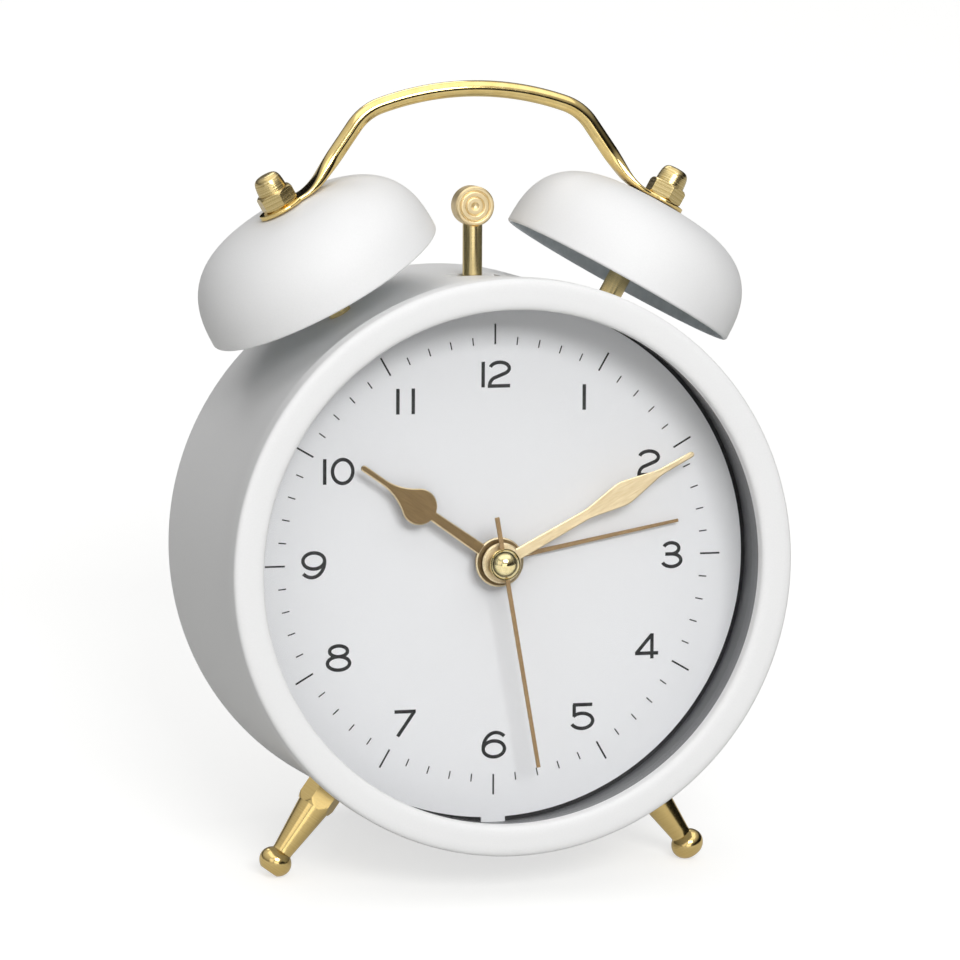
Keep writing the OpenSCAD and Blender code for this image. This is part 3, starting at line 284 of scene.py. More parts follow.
# coil: fine orange ridges side by side, coarser than the real wire
copperWire = grainFinish({
    "name": "enamelled copper winding", "light": "#c9773c", "dark": "#93501f", "grainMm": 0.22,
    "stretch": (1, 60, 60), "rough": (0.25, 0.4), "bump": 0.6, "bumpMm": 0.08, "plain": metal})
# circuit board: glossy green, a little uneven
boardMask = grainFinish({
    "name": "green solder mask", "light": "#1f6b3c", "dark": "#175530", "grainMm": 1.2,
    "rough": (0.3, 0.42), "bump": 0.15, "bumpMm": 0.03})
# cell: plain grey shrink wrap with a metal sheen
cellWrap = grainFinish({
    "name": "battery wrap", "light": "#4a4d52", "dark": "#3d4045", "grainMm": 1.5,
    "rough": (0.25, 0.35), "bump": 0.1, "bumpMm": 0.02, "plain": {"Metallic": 0.5}})
# lens: clear, with the faintest waves in what it mirrors
paneGlass = glassFinish({
    "name": "clear mineral glass", "grainMm": 9.0, "bump": 0.01, "bumpMm": 0.01,
    "plain": {"Base Color": (1, 1, 1, 1), "Roughness": 0.0, "IOR": 1.5,
              "Transmission Weight": 1.0}})

cadFinish = {
    whiteCoat: ["case_drum"],
    paneGlass: ["lens"],
    dialLacquer: ["dial"],
    greyAbs: ["spacer_ring"],
    blackAbs: ["dial_frame", "time_knob", "alarm_knob", "alarm_switch", "hammer_lever"],
    whiteAbs: ["rear_cover", "battery_door"],
    housingAbs: ["movement_base", "movement_cap"],
    ivoryAcetal: ["alarm_wheel", "hour_wheel", "motion_wheel", "centre_wheel", "third_wheel",
                  "second_wheel", "step_wheel", "time_shaft", "alarm_shaft", "crank_wheel"],
    turnedBrass: ["cannon_pinion", "motor_pinion", "bell_posts", "hammer_stem"],
    thinChampagne: ["second_hand", "alarm_hand"],
    zincPlate: ["cover_screws", "post_nuts", "foot_nuts", "hammer_pin", "contact_plate",
                "contact_leaf", "stator", "ringer_frame", "bell_motor"],
    magnetGrey: ["rotor"],
    copperWire: ["coil"],
    boardMask: ["circuit_board"],
    cellWrap: ["battery"],
}
for material, names in cadFinish.items():
    for name in names:
        cadNodes[name].data.materials.clear()
        cadNodes[name].data.materials.append(material)
print("finishes made:", len(cadFinish))


def gridFaces(rows, cols, wrapRows, wrapCols, start):
    # quads between neighbouring rows and columns of a grid of points
    r = np.arange(rows if wrapRows else rows - 1)[:, None]
    c = np.arange(cols if wrapCols else cols - 1)[None, :]
    below, beside = (r + 1) % rows, (c + 1) % cols
    corners = [r * cols + c, r * cols + beside, below * cols + beside, below * cols + c]
    return start + np.stack(np.broadcast_arrays(*corners), -1).reshape(-1, 4)


meshWork = {"merge": 2e-7, "sharpDeg": 32, "handSharpDeg": 20, "printSharpDeg": 40}


def makePiece(name, sheets, materials, body, replaced=(), sharp=meshWork["sharpDeg"]):
    # each sheet is (points, rows wrap, columns wrap, material of each row of faces);
    # poles and seams are merged
    verts, faces, marks, start = [], [], [], 0
    for points, wrapRows, wrapCols, mark in sheets:
        rows, cols = points.shape[:2]
        quads = gridFaces(rows, cols, wrapRows, wrapCols, start)
        perRow = cols if wrapCols else cols - 1
        faceRows = len(quads) // perRow
        verts.append(points.reshape(-1, 3))
        faces.append(quads)
        marks.append(np.repeat(np.broadcast_to(mark, faceRows), perRow))
        start += rows * cols
    mesh = bpy.data.meshes.new(name)
    mesh.from_pydata(standUp(np.concatenate(verts)), [], np.concatenate(faces))
    for material in materials:
        mesh.materials.append(material)
    mesh.polygons.foreach_set("material_index", np.concatenate(marks).astype(np.int32))
    merged = bmesh.new()
    merged.from_mesh(mesh)
    bmesh.ops.remove_doubles(merged, verts=merged.verts, dist=meshWork["merge"])
    bmesh.ops.recalc_face_normals(merged, faces=merged.faces)
    merged.to_mesh(mesh)
    merged.free()
    mesh.shade_smooth()
    mesh.set_sharp_from_angle(angle=math.radians(sharp))
    piece = bpy.data.objects.new(name, mesh)
    bpy.context.scene.collection.objects.link(piece)
    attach(piece, body)
    if replaced:
        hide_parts(*replaced)
    print("piece", name, len(mesh.polygons), "faces")
    return piece


def spinSheet(radius, height, origin, axis, count, wrapRows, mark=0):
    # surface of revolution: origin plus height along the axis plus radius round it;
    # the radius may change with the angle
    axis = np.asarray(axis, float)
    alongDial = abs(axis[1]) > abs(axis[2])
    first = np.array([1.0, 0, 0]) if alongDial else np.array([axis[2], 0, -axis[0]])
    first = first / np.linalg.norm(first)
    second = np.cross(axis, first)
    turn = np.linspace(0, 2 * np.pi, count, endpoint=False)
    ring = np.cos(turn)[:, None] * first + np.sin(turn)[:, None] * second
    radius = np.asarray(radius, float)
    radius = radius[:, None] if radius.ndim == 1 else radius
    line = np.asarray(origin, float) + np.asarray(height, float)[:, None, None] * axis
    return line + radius[..., None] * ring[None], wrapRows, True, mark


def arcLine(x, z, rx, rz, start, end, count):
    # points on an ellipse from one angle to another, in degrees from the first axis
    turn = np.radians(np.linspace(start, end, count))
    return np.stack([x + rx * np.cos(turn), z + rz * np.sin(turn)], -1)


def outwardAxis(angle):
    # direction from the dial axis at a clock angle in degrees
    turn = math.radians(angle)
    return np.array([math.sin(turn), 0.0, math.cos(turn)])


def closedEnds(points):
    # a grid of points with both end rows drawn to their middles
    ends = points[[0, -1]].mean(1, keepdims=True) + np.zeros((1, points.shape[1], 1))
    return np.concatenate([ends[:1], points, ends[1:]])


bezelRing = {
    "opening": 51.7, "outer": 58.0, "edge": -0.1, "crown": 1.66, "power": 3.6, "lip": 1.2,
    "skirtBore": 56.35, "skirtEnd": 3.2, "count": 256, "archSteps": 61,
}


def bezelProfile(s):
    # front face: a broad arch with a nearly flat middle, (1 - |u|^p)^(1/p) across the ring;
    # plain lip and skirt behind
    half = (s["outer"] - s["opening"]) / 2
    turn = np.linspace(np.pi, 0, s["archSteps"])
    wide = np.sign(np.cos(turn)) * np.abs(np.cos(turn)) ** (2 / s["power"])
    rise = np.abs(np.sin(turn)) ** (2 / s["power"])
    backR = [s["outer"], s["skirtBore"], s["skirtBore"], s["opening"]]
    backY = [s["skirtEnd"], s["skirtEnd"], s["lip"], s["lip"]]
    radius = np.concatenate([s["opening"] + half * (1 + wide), backR])
    return radius, np.concatenate([s["edge"] - s["crown"] * rise, backY])


ringR, ringY = bezelProfile(bezelRing)
ringSheet = spinSheet(ringR, ringY, (0, 0, 0), (0, 1, 0), bezelRing["count"], True)
makePiece("bezelRing", [ringSheet], [whiteCoat], "case", ["bezel"])

bell = {
    "angle": 29.5, "reach": 62.6, "rim": 25.4, "height": 18.05, "wall": 1.0, "side": 3.12,
    "crown": 2.74, "leanDeg": 1.4, "dip": 0.1, "land": 5.5, "hole": 2.1, "count": 160,
    "wallSteps": 72, "lipSteps": 13, "lipInside": 4,
}
landShare = 1 - (bell["land"] / bell["rim"]) ** bell["side"]
landZ = bell["height"] * landShare ** (1 / bell["crown"])
seat = bell["reach"] + landZ


def bellWall(b, inset):
    # (r / rim)^side + (h / height)^crown = 1 from the lip to the land, with both sizes less an
    # inset
    rim, height = b["rim"] - inset, b["height"] - inset
    heights = (b["wall"] / 2, landZ - inset)
    turn = np.linspace(*(math.asin((h / height) ** (b["crown"] / 2)) for h in heights),
                       b["wallSteps"])
    across = rim * np.cos(turn) ** (2 / b["side"])
    return np.stack([across, height * np.sin(turn) ** (2 / b["crown"])], -1)


def bellProfile(b):
    # round lip, outer wall, hole through the flat land and inner wall
    half = b["wall"] / 2
    lip = arcLine(b["rim"] - half, half, half, half, 180, 360, b["lipSteps"])[1:-1]
    outside, inside = bellWall(b, 0.0), bellWall(b, b["wall"])
    hole = np.array([[b["hole"], landZ], [b["hole"], landZ - b["wall"]]])
    line = np.concatenate([lip, outside, hole, inside[::-1]])
    mark = np.zeros(len(line), int)
    mark[len(lip) + len(outside) + 1:] = 1
    mark[:b["lipInside"]] = 1
    return line, mark


bellLine, bellMark = bellProfile(bell)
for side, pieceName, node in ((-1, "bellLeft", "left_bell"), (1, "bellRight", "right_bell")):
    # each bell leans a little to the front about its seat
    post = outwardAxis(side * bell["angle"])
    axis = post - np.array([0, math.tan(math.radians(bell["leanDeg"])), 0])
    axis /= np.linalg.norm(axis)
    top = np.array([0, stance["topDepth"], 0]) + post * (seat - bell["dip"])
    bellR, bellH = bellLine.T
    sheet = spinSheet(bellR, bellH, top - axis * landZ, axis, bell["count"], True, bellMark)
    makePiece(pieceName, [sheet], [whiteCoat, slatePrimer], "case", [node])


def hexRadius(apothem, count, turnDeg):
    # polar line of a hexagon: apothem over the cosine of the angle to the nearest flat's middle
    turn = np.linspace(0, 2 * np.pi, count, endpoint=False) + math.radians(turnDeg)
    return apothem / np.cos((turn + np.pi / 6) % (np.pi / 3) - np.pi / 6)


foot = {
    "gap": 0.02, "stud": 1.5, "studLength": 5.0, "apothem": 3.5, "collar": 5.0, "flare": 6.0,
    "rim": 3.55, "shank": 3.45, "neck": 2.1, "inset": 1.0, "flat": 2.6, "ballAcross": 3.4,
    "ballAlong": 2.9, "count": 144, "turnDeg": 25, "collarSteps": 30, "shankSteps": 20,
    "ballSteps": 40,
}


def footSheet(s, angle):
    # six-sided collar cut by a cone, tapered shank and a pressed ball, part of an ellipse, with
    # a flat end that still reaches the table; each taper starts an inset before its part
    base, inset = stance["caseRadius"] + s["gap"], s["inset"]
    collarEnd, shankEnd = base + s["collar"], stance["footReach"] - s["flat"]
    down = math.cos(math.radians(stance["footDeg"])) * leanCos
    support = math.hypot(s["ballAcross"] * math.sqrt(1 - down ** 2), s["ballAlong"] * down)
    ballAt = stance["footReach"] + (stance["ball"] - support) / down
    hexTurn = s["turnDeg"] if angle > 180 else -s["turnDeg"]
    hexLine = hexRadius(s["apothem"], s["count"], hexTurn)[None]
    collarH = np.linspace(base, collarEnd, s["collarSteps"])
    coneGone = (collarH - base + inset) / (s["collar"] + inset)
    cone = s["flare"] + (s["rim"] - s["flare"]) * coneGone
    collarR = np.minimum(hexLine, cone[:, None])
    shankH = np.linspace(collarEnd, shankEnd, s["shankSteps"])
    shankGone = (shankH - collarEnd + inset) / (shankEnd - collarEnd + inset)
    shankR = s["shank"] + (s["neck"] - s["shank"]) * shankGone
    startDeg = -math.degrees(math.acos(s["neck"] / s["ballAcross"]))
    ballEnd = stance["footReach"] + s["flat"]
    endDeg = math.degrees(math.asin((ballEnd - ballAt) / s["ballAlong"]))
    ballLine = arcLine(0, ballAt, s["ballAcross"], s["ballAlong"], startDeg, endDeg,
                       s["ballSteps"])
    plainR = np.concatenate([shankR, ballLine[:, 0], [0]])
    plainH = np.concatenate([shankH, ballLine[:, 1], [ballEnd]])
    studR = np.array([0, s["stud"], s["stud"]])
    studH = np.array([base - s["studLength"]] * 2 + [base])
    spread = np.ones((1, s["count"]))
    radius = np.concatenate([studR[:, None] * spread, collarR, plainR[:, None] * spread])
    height = np.concatenate([studH, collarH, plainH])
    origin = (0, stance["footDepth"], 0)
    return spinSheet(radius, height, origin, outwardAxis(angle), s["count"], False)


footAngles = (180 + stance["footDeg"], 180 - stance["footDeg"])
footSheets = [footSheet(foot, angle) for angle in footAngles]
makePiece("footPair", footSheets, [brightBrass], "case", ["feet"])

acorn = {
    "tab": 1.0, "apothem": 3.5, "hex": 3.2, "chamfer": 0.35, "topChamfer": 0.525,
    "cornerCut": 0.5, "neck": 2.85, "neckRise": 0.2, "dome": 3.05, "domeRise": 3.45,
    "taper": 0.09, "square": 0.46, "bore": 1.97, "boreRise": 5.2, "count": 144, "turnDeg": 0,
    "lowSteps": 6, "highSteps": 9, "capSteps": 40,
}


def acornSheet(s, angle):
    # chamfered hexagon on the handle's tab, short neck and a tall cap over a blind bore; the cap
    # is cos^square wide, less a taper, by sin^square high, so its top is round and flattish
    base = seat + s["tab"]
    corner = s["apothem"] / math.cos(math.pi / 6)
    hexLine = hexRadius(s["apothem"], s["count"], s["turnDeg"])[None]
    hexH = np.concatenate([np.linspace(0, s["chamfer"], s["lowSteps"]),
                           np.linspace(s["hex"] - s["topChamfer"], s["hex"], s["highSteps"])])
    edge = np.minimum(hexH / s["chamfer"], (s["hex"] - hexH) / s["topChamfer"])
    cone = corner - s["cornerCut"] * (1 - np.clip(edge, 0, 1))
    hexR = np.minimum(hexLine, cone[:, None])
    turn = np.linspace(0, np.pi / 2, s["capSteps"])
    rise = np.sin(turn) ** s["square"]
    capR = s["dome"] * np.cos(turn) ** s["square"] * (1 - s["taper"] * rise)
    capR[-1] = 0
    capH = s["hex"] + s["neckRise"] + s["domeRise"] * rise
    spread = np.ones((1, s["count"]))
    boreR = np.array([0, s["bore"], s["bore"]])
    boreH = np.array([s["boreRise"], s["boreRise"], 0])
    neckR, neckH = np.array([s["neck"], s["neck"]]), s["hex"] + np.array([0, s["neckRise"]])
    upperR = np.concatenate([neckR, capR])
    radius = np.concatenate([boreR[:, None] * spread, hexR, upperR[:, None] * spread])
    height = base + np.concatenate([boreH, hexH, neckH, capH])
    origin = (0, stance["topDepth"], 0)
    return spinSheet(radius, height, origin, outwardAxis(angle), s["count"], False)


acornPair = [acornSheet(acorn, side * bell["angle"]) for side in (-1, 1)]
makePiece("acornPair", acornPair, [nutBrass], "case", ["acorn_nuts"])

handle = {
    "rod": 1.65, "seatGap": 0.15, "tabThick": acorn["tab"], "tabHalf": 3.3, "tabEnd": 4.9,
    "tabStart": -4.4, "tipHalf": 0.02, "rodStart": -8.5, "legDeg": 55.0, "footBend": 7.0,
    "arch": 60.0, "top": 93.92, "corner": 11.0, "ease": 11.0, "square": 3.0, "count": 48,
    "tipSteps": 16, "tabSteps": 12, "bendSteps": 16, "legSteps": 24, "cornerSteps": 20,
    "archSteps": 30,
}


def handleTab(s, across, outward, tabMid):
    # the tab's middle line from its tip inwards, and its half width: a disc that runs into a bar
    tip = s["tabEnd"] * np.cos(np.linspace(0, np.pi / 2, s["tipSteps"]))
    along = np.concatenate([tip, np.linspace(0, s["tabStart"], s["tabSteps"])[1:]])
    disc = np.sqrt(np.maximum(s["tabEnd"] ** 2 - along ** 2, 0))
    swell = np.where(along > 0, disc, np.maximum(disc, s["tabHalf"]))
    return along[:, None] * across + tabMid * outward, np.maximum(swell, s["tipHalf"])


def handleLine(s):
    # half of the rod's middle line from the tab's tip to the top, with how flat and how wide
    # it is at each point
    a, leg = math.radians(bell["angle"]), math.radians(s["legDeg"])
    turn, tabMid = leg - a, seat + s["tabThick"] / 2
    outward = np.array([math.sin(a), math.cos(a)])
    across = np.array([math.cos(a), -math.sin(a)])
    legX = s["rodStart"] - s["footBend"] * math.sin(turn)
    legZ = seat + s["rod"] + s["seatGap"] + s["footBend"] * (1 - math.cos(turn))
    legWay = np.array([math.sin(leg), math.cos(leg)])
    legOffset = (legX * across + legZ * outward) @ legWay
    crossX = (legOffset - tabMid * math.cos(turn)) / math.sin(turn)
    radius = (s["tabStart"] - crossX) / math.tan(turn / 2)
    tab, swell = handleTab(s, across, outward, tabMid)
    centre = s["tabStart"] * across + (tabMid + radius) * outward
    bend = arcLine(*centre, radius, radius, 270 - bell["angle"], 270 - s["legDeg"],
                   s["bendSteps"])[1:]
    archZ, archReach = s["top"] - s["arch"], s["arch"] - s["corner"]
    sweep = leg - math.acos((legOffset - s["corner"] - archZ * math.cos(leg)) / archReach)
    sweepDeg = math.degrees(sweep)
    cornerAt = (archReach * math.sin(sweep), archZ + archReach * math.cos(sweep))
    corner = arcLine(*cornerAt, s["corner"], s["corner"], 90 - s["legDeg"], 90 - sweepDeg,
                     s["cornerSteps"])
    legShare = np.linspace(0, 1, s["legSteps"])[1:-1, None]
    legLine = bend[-1] + (corner[0] - bend[-1]) * legShare
    arch = arcLine(0, archZ, s["arch"], s["arch"], 90 - sweepDeg, 90, s["archSteps"])[1:]
    rod = np.concatenate([bend, legLine, corner, arch])
    steps = np.diff(np.concatenate([tab[-1:], rod]), axis=0)
    ease = np.clip(np.cumsum(np.linalg.norm(steps, axis=1)) / s["ease"], 0, 1)
    soft = ease * ease * (3 - 2 * ease)
    flat = np.concatenate([np.ones(len(tab)), 1 - soft])
    wide = np.concatenate([swell, s["tabHalf"] + (s["rod"] - s["tabHalf"]) * soft])
    return np.concatenate([tab, rod]), flat, wide


def handleSheet(s):
    # a section carried along the line, |cos|^q thick by |sin|^q wide: q is 1 on the rod, a circle,
    # and less on the tabs, a rounded bar
    line, flat, wide = handleLine(s)
    line = np.concatenate([line, line[::-1][1:] * np.array([-1, 1])])
    flat = np.concatenate([flat, flat[::-1][1:]])
    wide = np.concatenate([wide, wide[::-1][1:]])
    tangent = np.gradient(line, axis=0)
    tangent /= np.linalg.norm(tangent, axis=1)[:, None]
    normal = np.stack([-tangent[:, 1], tangent[:, 0]], -1)
    turn = np.linspace(0, 2 * np.pi, s["count"], endpoint=False)
    power = (2 / (2 + s["square"] * flat))[:, None]
    across = np.sign(np.sin(turn)) * np.abs(np.sin(turn)) ** power * wide[:, None]
    thick = (s["rod"] + (s["tabThick"] / 2 - s["rod"]) * flat)[:, None]
    lift = np.sign(np.cos(turn)) * np.abs(np.cos(turn)) ** power * thick
    spot = line[:, None, :] + lift[..., None] * normal[:, None, :]
    points = np.stack([spot[..., 0], stance["topDepth"] + across, spot[..., 1]], -1)
    return closedEnds(points), False, True, 0


makePiece("handleRod", [handleSheet(handle)], [goldPlate], "case", ["handle"])

hammer = {
    "height": stance["hammerReach"], "radius": 4.05, "thick": 4.0, "chamfer": 0.3, "dimple": 0.85,
    "dimpleDepth": 0.45, "rings": (1.85, 3.05), "ringHalf": 0.2, "ringDepth": 0.22,
    "count": 128, "faceSteps": 90,
}


def hammerProfile(s):
    # front face with a centre dimple, 1 - (r / dimple)^2, and two turned rings, bell curves of
    # the radius; chamfered edges and a plain back
    front, back, chamfer = -s["thick"] / 2, s["thick"] / 2, s["chamfer"]
    r = np.linspace(0, s["radius"] - chamfer, s["faceSteps"])
    dip = s["dimpleDepth"] * np.clip(1 - (r / s["dimple"]) ** 2, 0, 1)
    away = [(r - ring) / s["ringHalf"] for ring in s["rings"]]
    groove = sum(s["ringDepth"] * np.exp(-2 * far ** 2) for far in away)
    edgeR = [s["radius"], s["radius"], s["radius"] - chamfer, 0]
    edgeY = [front + chamfer, back - chamfer, back, back]
    return np.concatenate([r, edgeR]), np.concatenate([front + dip + groove, edgeY])


headR, headY = hammerProfile(hammer)
headPlace = (0, stance["topDepth"], hammer["height"])
headSheet = spinSheet(headR, headY, headPlace, (0, 1, 0), hammer["count"], False)
makePiece("hammerDisc", [headSheet], [faceBrass], "hammer", ["hammer_head"])

hourHand = {
    "angle": stance["hourDeg"], "length": 35.0, "front": 10.5, "thick": 0.5, "root": 1.25,
    "leaf": 3.65, "leafBack": 14.6, "leafStart": -74, "tip": 0.62, "hollow": 12.0, "hub": 5.0,
    "collet": 3.0, "colletLength": 1.6, "bore": 2.02, "edge": 0.22, "edgeDepth": 0.14,
    "armSteps": 20, "leafSteps": 40, "flankSteps": 24, "tipSteps": 10,
}
minuteHand = {
    "angle": stance["minuteDeg"], "length": 45.4, "front": 8.7, "thick": 0.45, "tip": 0.55,
    "hub": 4.1, "collet": 2.2, "colletLength": 1.4, "bore": 1.22, "edge": 0.18, "edgeDepth": 0.1,
    "along": (0, 20.5, 27.8, 28.7, 29.6, 37.5, 44.85),
    "half": (1.2, 1.0, 2.35, 2.5, 2.35, 0.62, 0.55), "armSteps": 180, "soften": 9,
    "tipSteps": 10,
}
handWork = {
    "thin": 0.004, "edgeShare": 0.45, "hubLift": 0.03, "hubRound": 0.3, "hubDrop": 0.2,
    "count": 96, "bevelFrom": 0.3, "bevelTo": 0.97,
}


def roundTip(s):
    # a quarter circle from the hand's edge to its middle line
    return arcLine(0, s["length"] - s["tip"], s["tip"], s["tip"], 0, 90, s["tipSteps"])


def hourOutline(s):
    # half width along the hand: tapered arm, round leaf, hollow flank and round tip
    leafAt, hollow = s["length"] - s["leafBack"], s["hollow"]
    flankX = s["tip"] + hollow
    hollowAt = leafAt + math.sqrt((s["leaf"] + hollow) ** 2 - flankX ** 2)
    meet = math.degrees(math.atan2(hollowAt - leafAt, flankX))
    leaf = arcLine(0, leafAt, s["leaf"], s["leaf"], s["leafStart"], meet, s["leafSteps"])
    flank = arcLine(flankX, hollowAt, hollow, hollow, 180 + meet, 180, s["flankSteps"])[1:]
    arm = np.stack([np.linspace(s["root"], leaf[0, 0], s["armSteps"]),
                    np.linspace(0, leaf[0, 1], s["armSteps"])], -1)[:-1]
    return np.concatenate([arm, leaf, flank, roundTip(s)])


def minuteOutline(s):
    # half width along the hand: a smoothed line through the stated widths, and a round tip
    along = np.linspace(0, s["along"][-1], s["armSteps"])
    half = np.pad(np.interp(along, s["along"], s["half"]), s["soften"] // 2, mode="edge")
    soft = np.convolve(half, np.ones(s["soften"]) / s["soften"], mode="valid")
    return np.concatenate([np.stack([soft, along], -1)[:-1], roundTip(s)])


def handSheets(s, outline, w):
    # a flat bar with bevelled front edges carried along the outline, and a stepped hub round
    # the dial axis
    half = np.maximum(outline[:, 0], w["thin"])
    edge = np.minimum(s["edge"], w["edgeShare"] * half)
    front = np.full(len(half), s["front"])
    low, back = front + s["edgeDepth"], front + s["thick"]
    across = np.stack([-half, edge - half, half - edge, half, half, -half], -1)
    depth = np.stack([low, front, front, low, back, back], -1)
    along = outline[:, 1][:, None] + np.zeros((1, across.shape[1]))
    turnSin, turnCos = math.sin(math.radians(s["angle"])), math.cos(math.radians(s["angle"]))
    points = np.stack([across * turnCos + along * turnSin, depth,
                       along * turnCos - across * turnSin], -1)
    top, plate = s["front"] - w["hubLift"], s["front"] + s["thick"]
    end = s["front"] + s["colletLength"]
    hubR = [s["bore"], s["hub"] - w["hubRound"], s["hub"], s["hub"], s["collet"], s["collet"],
            s["bore"]]
    hubY = [top, top, top + w["hubDrop"], plate, plate, end, end]
    hub = spinSheet(hubR, hubY, (0, 0, 0), (0, 1, 0), w["count"], True)
    return [(closedEnds(points), False, True, 0), hub]


def markEdges(piece, w):
    # the bevels face sideways, so they take the cut edge's brighter finish
    mesh = piece.data
    normals = np.zeros(len(mesh.polygons) * 3)
    mesh.polygons.foreach_get("normal", normals)
    forward = -normals.reshape(-1, 3) @ turnToTable((0, 1, 0))
    bevel = (forward > w["bevelFrom"]) & (forward < w["bevelTo"])
    mesh.polygons.foreach_set("material_index", bevel.astype(np.int32))


hourSheets = handSheets(hourHand, hourOutline(hourHand), handWork)
minuteSheets = handSheets(minuteHand, minuteOutline(minuteHand), handWork)
hourPiece = makePiece("hourHand", hourSheets, [bronzeBrushed, edgeBright], "hour_set",
                      ["hour_hand"], meshWork["handSharpDeg"])
minutePiece = makePiece("minuteHand", minuteSheets, [champagneBrushed, edgeBright],
                        "minute_set", ["minute_hand"],
                        meshWork["handSharpDeg"])
markEdges(hourPiece, handWork)
markEdges(minutePiece, handWork)

capDome = {
    "flange": 3.14, "flangeFront": 6.5, "back": 6.9, "dome": 2.9, "rise": 1.75, "bore": 0.52,
    "boreRise": 0.8, "round": 0.07, "count": 96, "domeSteps": 30,
}


def capProfile(s):
    # a shallow dome, the part of a ball with the stated width and rise, that springs from a thin
    # rolled flange, with a short bore behind
    ball = (s["dome"] ** 2 + s["rise"] ** 2) / (2 * s["rise"])
    turn = np.linspace(0, math.asin(s["dome"] / ball), s["domeSteps"])
    domeR = ball * np.sin(turn)
    domeY = s["flangeFront"] - s["rise"] + ball * (1 - np.cos(turn))
    front, back, bevel = s["flangeFront"], s["back"], s["round"]
    rimR = s["flange"] - bevel * np.array([1, 0, 0, 1])
    rimY = [front, front + bevel, back - bevel, back]
    boreY = back - s["boreRise"]
    radius = np.concatenate([domeR, rimR, [s["bore"], s["bore"], 0]])
    return radius, np.concatenate([domeY, rimY, [back, boreY, boreY]])


capR, capY = capProfile(capDome)
capSheet = spinSheet(capR, capY, (0, 0, 0), (0, 1, 0), capDome["count"], False)
makePiece("secondCap", [capSheet], [paleBrass], "second_set", ["second_cap"])

dialMarks = {
    "face": 14.5, "raise": 0.03, "sink": 0.01, "inner": 43.55, "hourOuter": 47.7,
    "minuteOuter": 45.15, "hourWide": 0.36, "minuteWide": 0.25, "tickSteps": 4,
}
numerals = {"reach": 37.5, "stroke": 0.72, "step": 0.0015, "barSteps": 10}


def barLine(x0, z0, x1, z1):
    # points on a straight stroke
    count = numerals["barSteps"]
    return np.stack([np.linspace(x0, x1, count), np.linspace(z0, z1, count)], -1)


# strokes in millimetres about each digit's middle: arcs as centre, half sizes, first and last
# angle and count of points, bars as two ends
sixLines = [arcLine(0.1, -0.93, 2.24, 1.62, 0, 360, 49),
            arcLine(0.5, -0.7, 2.64, 3.1, 48, 186, 30)]
twoLine = np.concatenate([arcLine(0.05, 1.18, 2.0, 1.22, 166, -62, 34),
                          arcLine(-0.38, -2.36, 1.68, 1.8, 104, 180, 16)])
digitLines = {
    "0": [arcLine(0, 0, 2.11, 2.4, 0, 360, 49)],
    "1": [barLine(0, -2.58, 0, 2.58)],
    "2": [twoLine, barLine(-2.42, -2.36, 2.25, -2.36)],
    "3": [arcLine(-0.1, 1.2, 1.62, 1.14, 160, -90, 30),
          arcLine(-0.02, -1.23, 1.98, 1.29, 90, -162, 34), barLine(-1.35, 0.06, 0.05, 0.06)],
    "4": [barLine(0.97, 2.72, 0.97, -2.42), barLine(-2.62, -1.3, 2.3, -1.3),
          barLine(0.92, 2.5, -2.35, -1.28)],
    "5": [barLine(-1.98, 2.38, 2.1, 2.38), barLine(-1.72, 2.4, -1.72, -0.05),
          arcLine(-0.1, -0.93, 2.3, 1.54, 142, -156, 44)],
    "6": sixLines,
    "7": [barLine(-2.0, 2.32, 2.44, 2.32), barLine(2.08, 2.2, -1.33, -2.66)],
    "8": [arcLine(0.05, 1.3, 1.86, 1.09, 0, 360, 49),
          arcLine(0.05, -1.14, 2.3, 1.36, 0, 360, 49)],
    "9": [-line for line in sixLines],
}
# digits of each hour with their shift to the right; a single digit stands in the middle
dialNumbers = {hour: [(str(hour), 0.0)] for hour in range(1, 10)}
dialNumbers[10] = [("1", -2.9), ("0", 0.82)]
dialNumbers[11] = [("1", -1.5), ("1", 1.7)]
dialNumbers[12] = [("1", -2.5), ("2", 0.9)]


def strokeSheet(line, half, front, back, closed):
    # a ribbon: the line's points shifted to both sides by half the stroke, with a thickness
    loop = np.concatenate([line[-2:-1], line, line[1:2]]) if closed else line
    tangent = np.gradient(loop, axis=0)
    tangent = tangent[1:-1] if closed else tangent
    tangent /= np.linalg.norm(tangent, axis=1)[:, None]
    side = np.stack([-tangent[:, 1], tangent[:, 0]], -1) * half
    left, right = line + side, line - side
    corners = np.stack([left, right, right, left], 1)
    depth = np.broadcast_to(np.array([front, front, back, back]), corners.shape[:2])
    points = np.stack([corners[..., 0], depth, corners[..., 1]], -1)
    if closed:
        return points[:-1], True, True, 0
    return closedEnds(points), False, True, 0


def numeralSheets(n, m):
    # each numeral's strokes, upright, about a point on the numeral circle, a hair apart in depth
    sheets = []
    for hour, parts in dialNumbers.items():
        place = n["reach"] * outwardAxis(30 * hour)[[0, 2]]
        lines = [line + place + [shift, 0] for digit, shift in parts
                 for line in digitLines[digit]]
        for order, line in enumerate(lines):
            closed = bool(np.allclose(line[0], line[-1]))
            front = m["face"] - m["raise"] - order * n["step"]
            back = m["face"] + m["sink"]
            sheets.append(strokeSheet(line, n["stroke"] / 2, front, back, closed))
    return sheets


def tickSheets(m):
    # sixty radial bars that start on one circle; every fifth is longer and wider
    front, back, sheets = m["face"] - m["raise"], m["face"] + m["sink"], []
    for minute in range(60):
        way = outwardAxis(6 * minute)[[0, 2]]
        kind = "minute" if minute % 5 else "hour"
        line = np.linspace(m["inner"], m[kind + "Outer"], m["tickSteps"])[:, None] * way
        sheets.append(strokeSheet(line, m[kind + "Wide"] / 2, front, back, False))
    return sheets


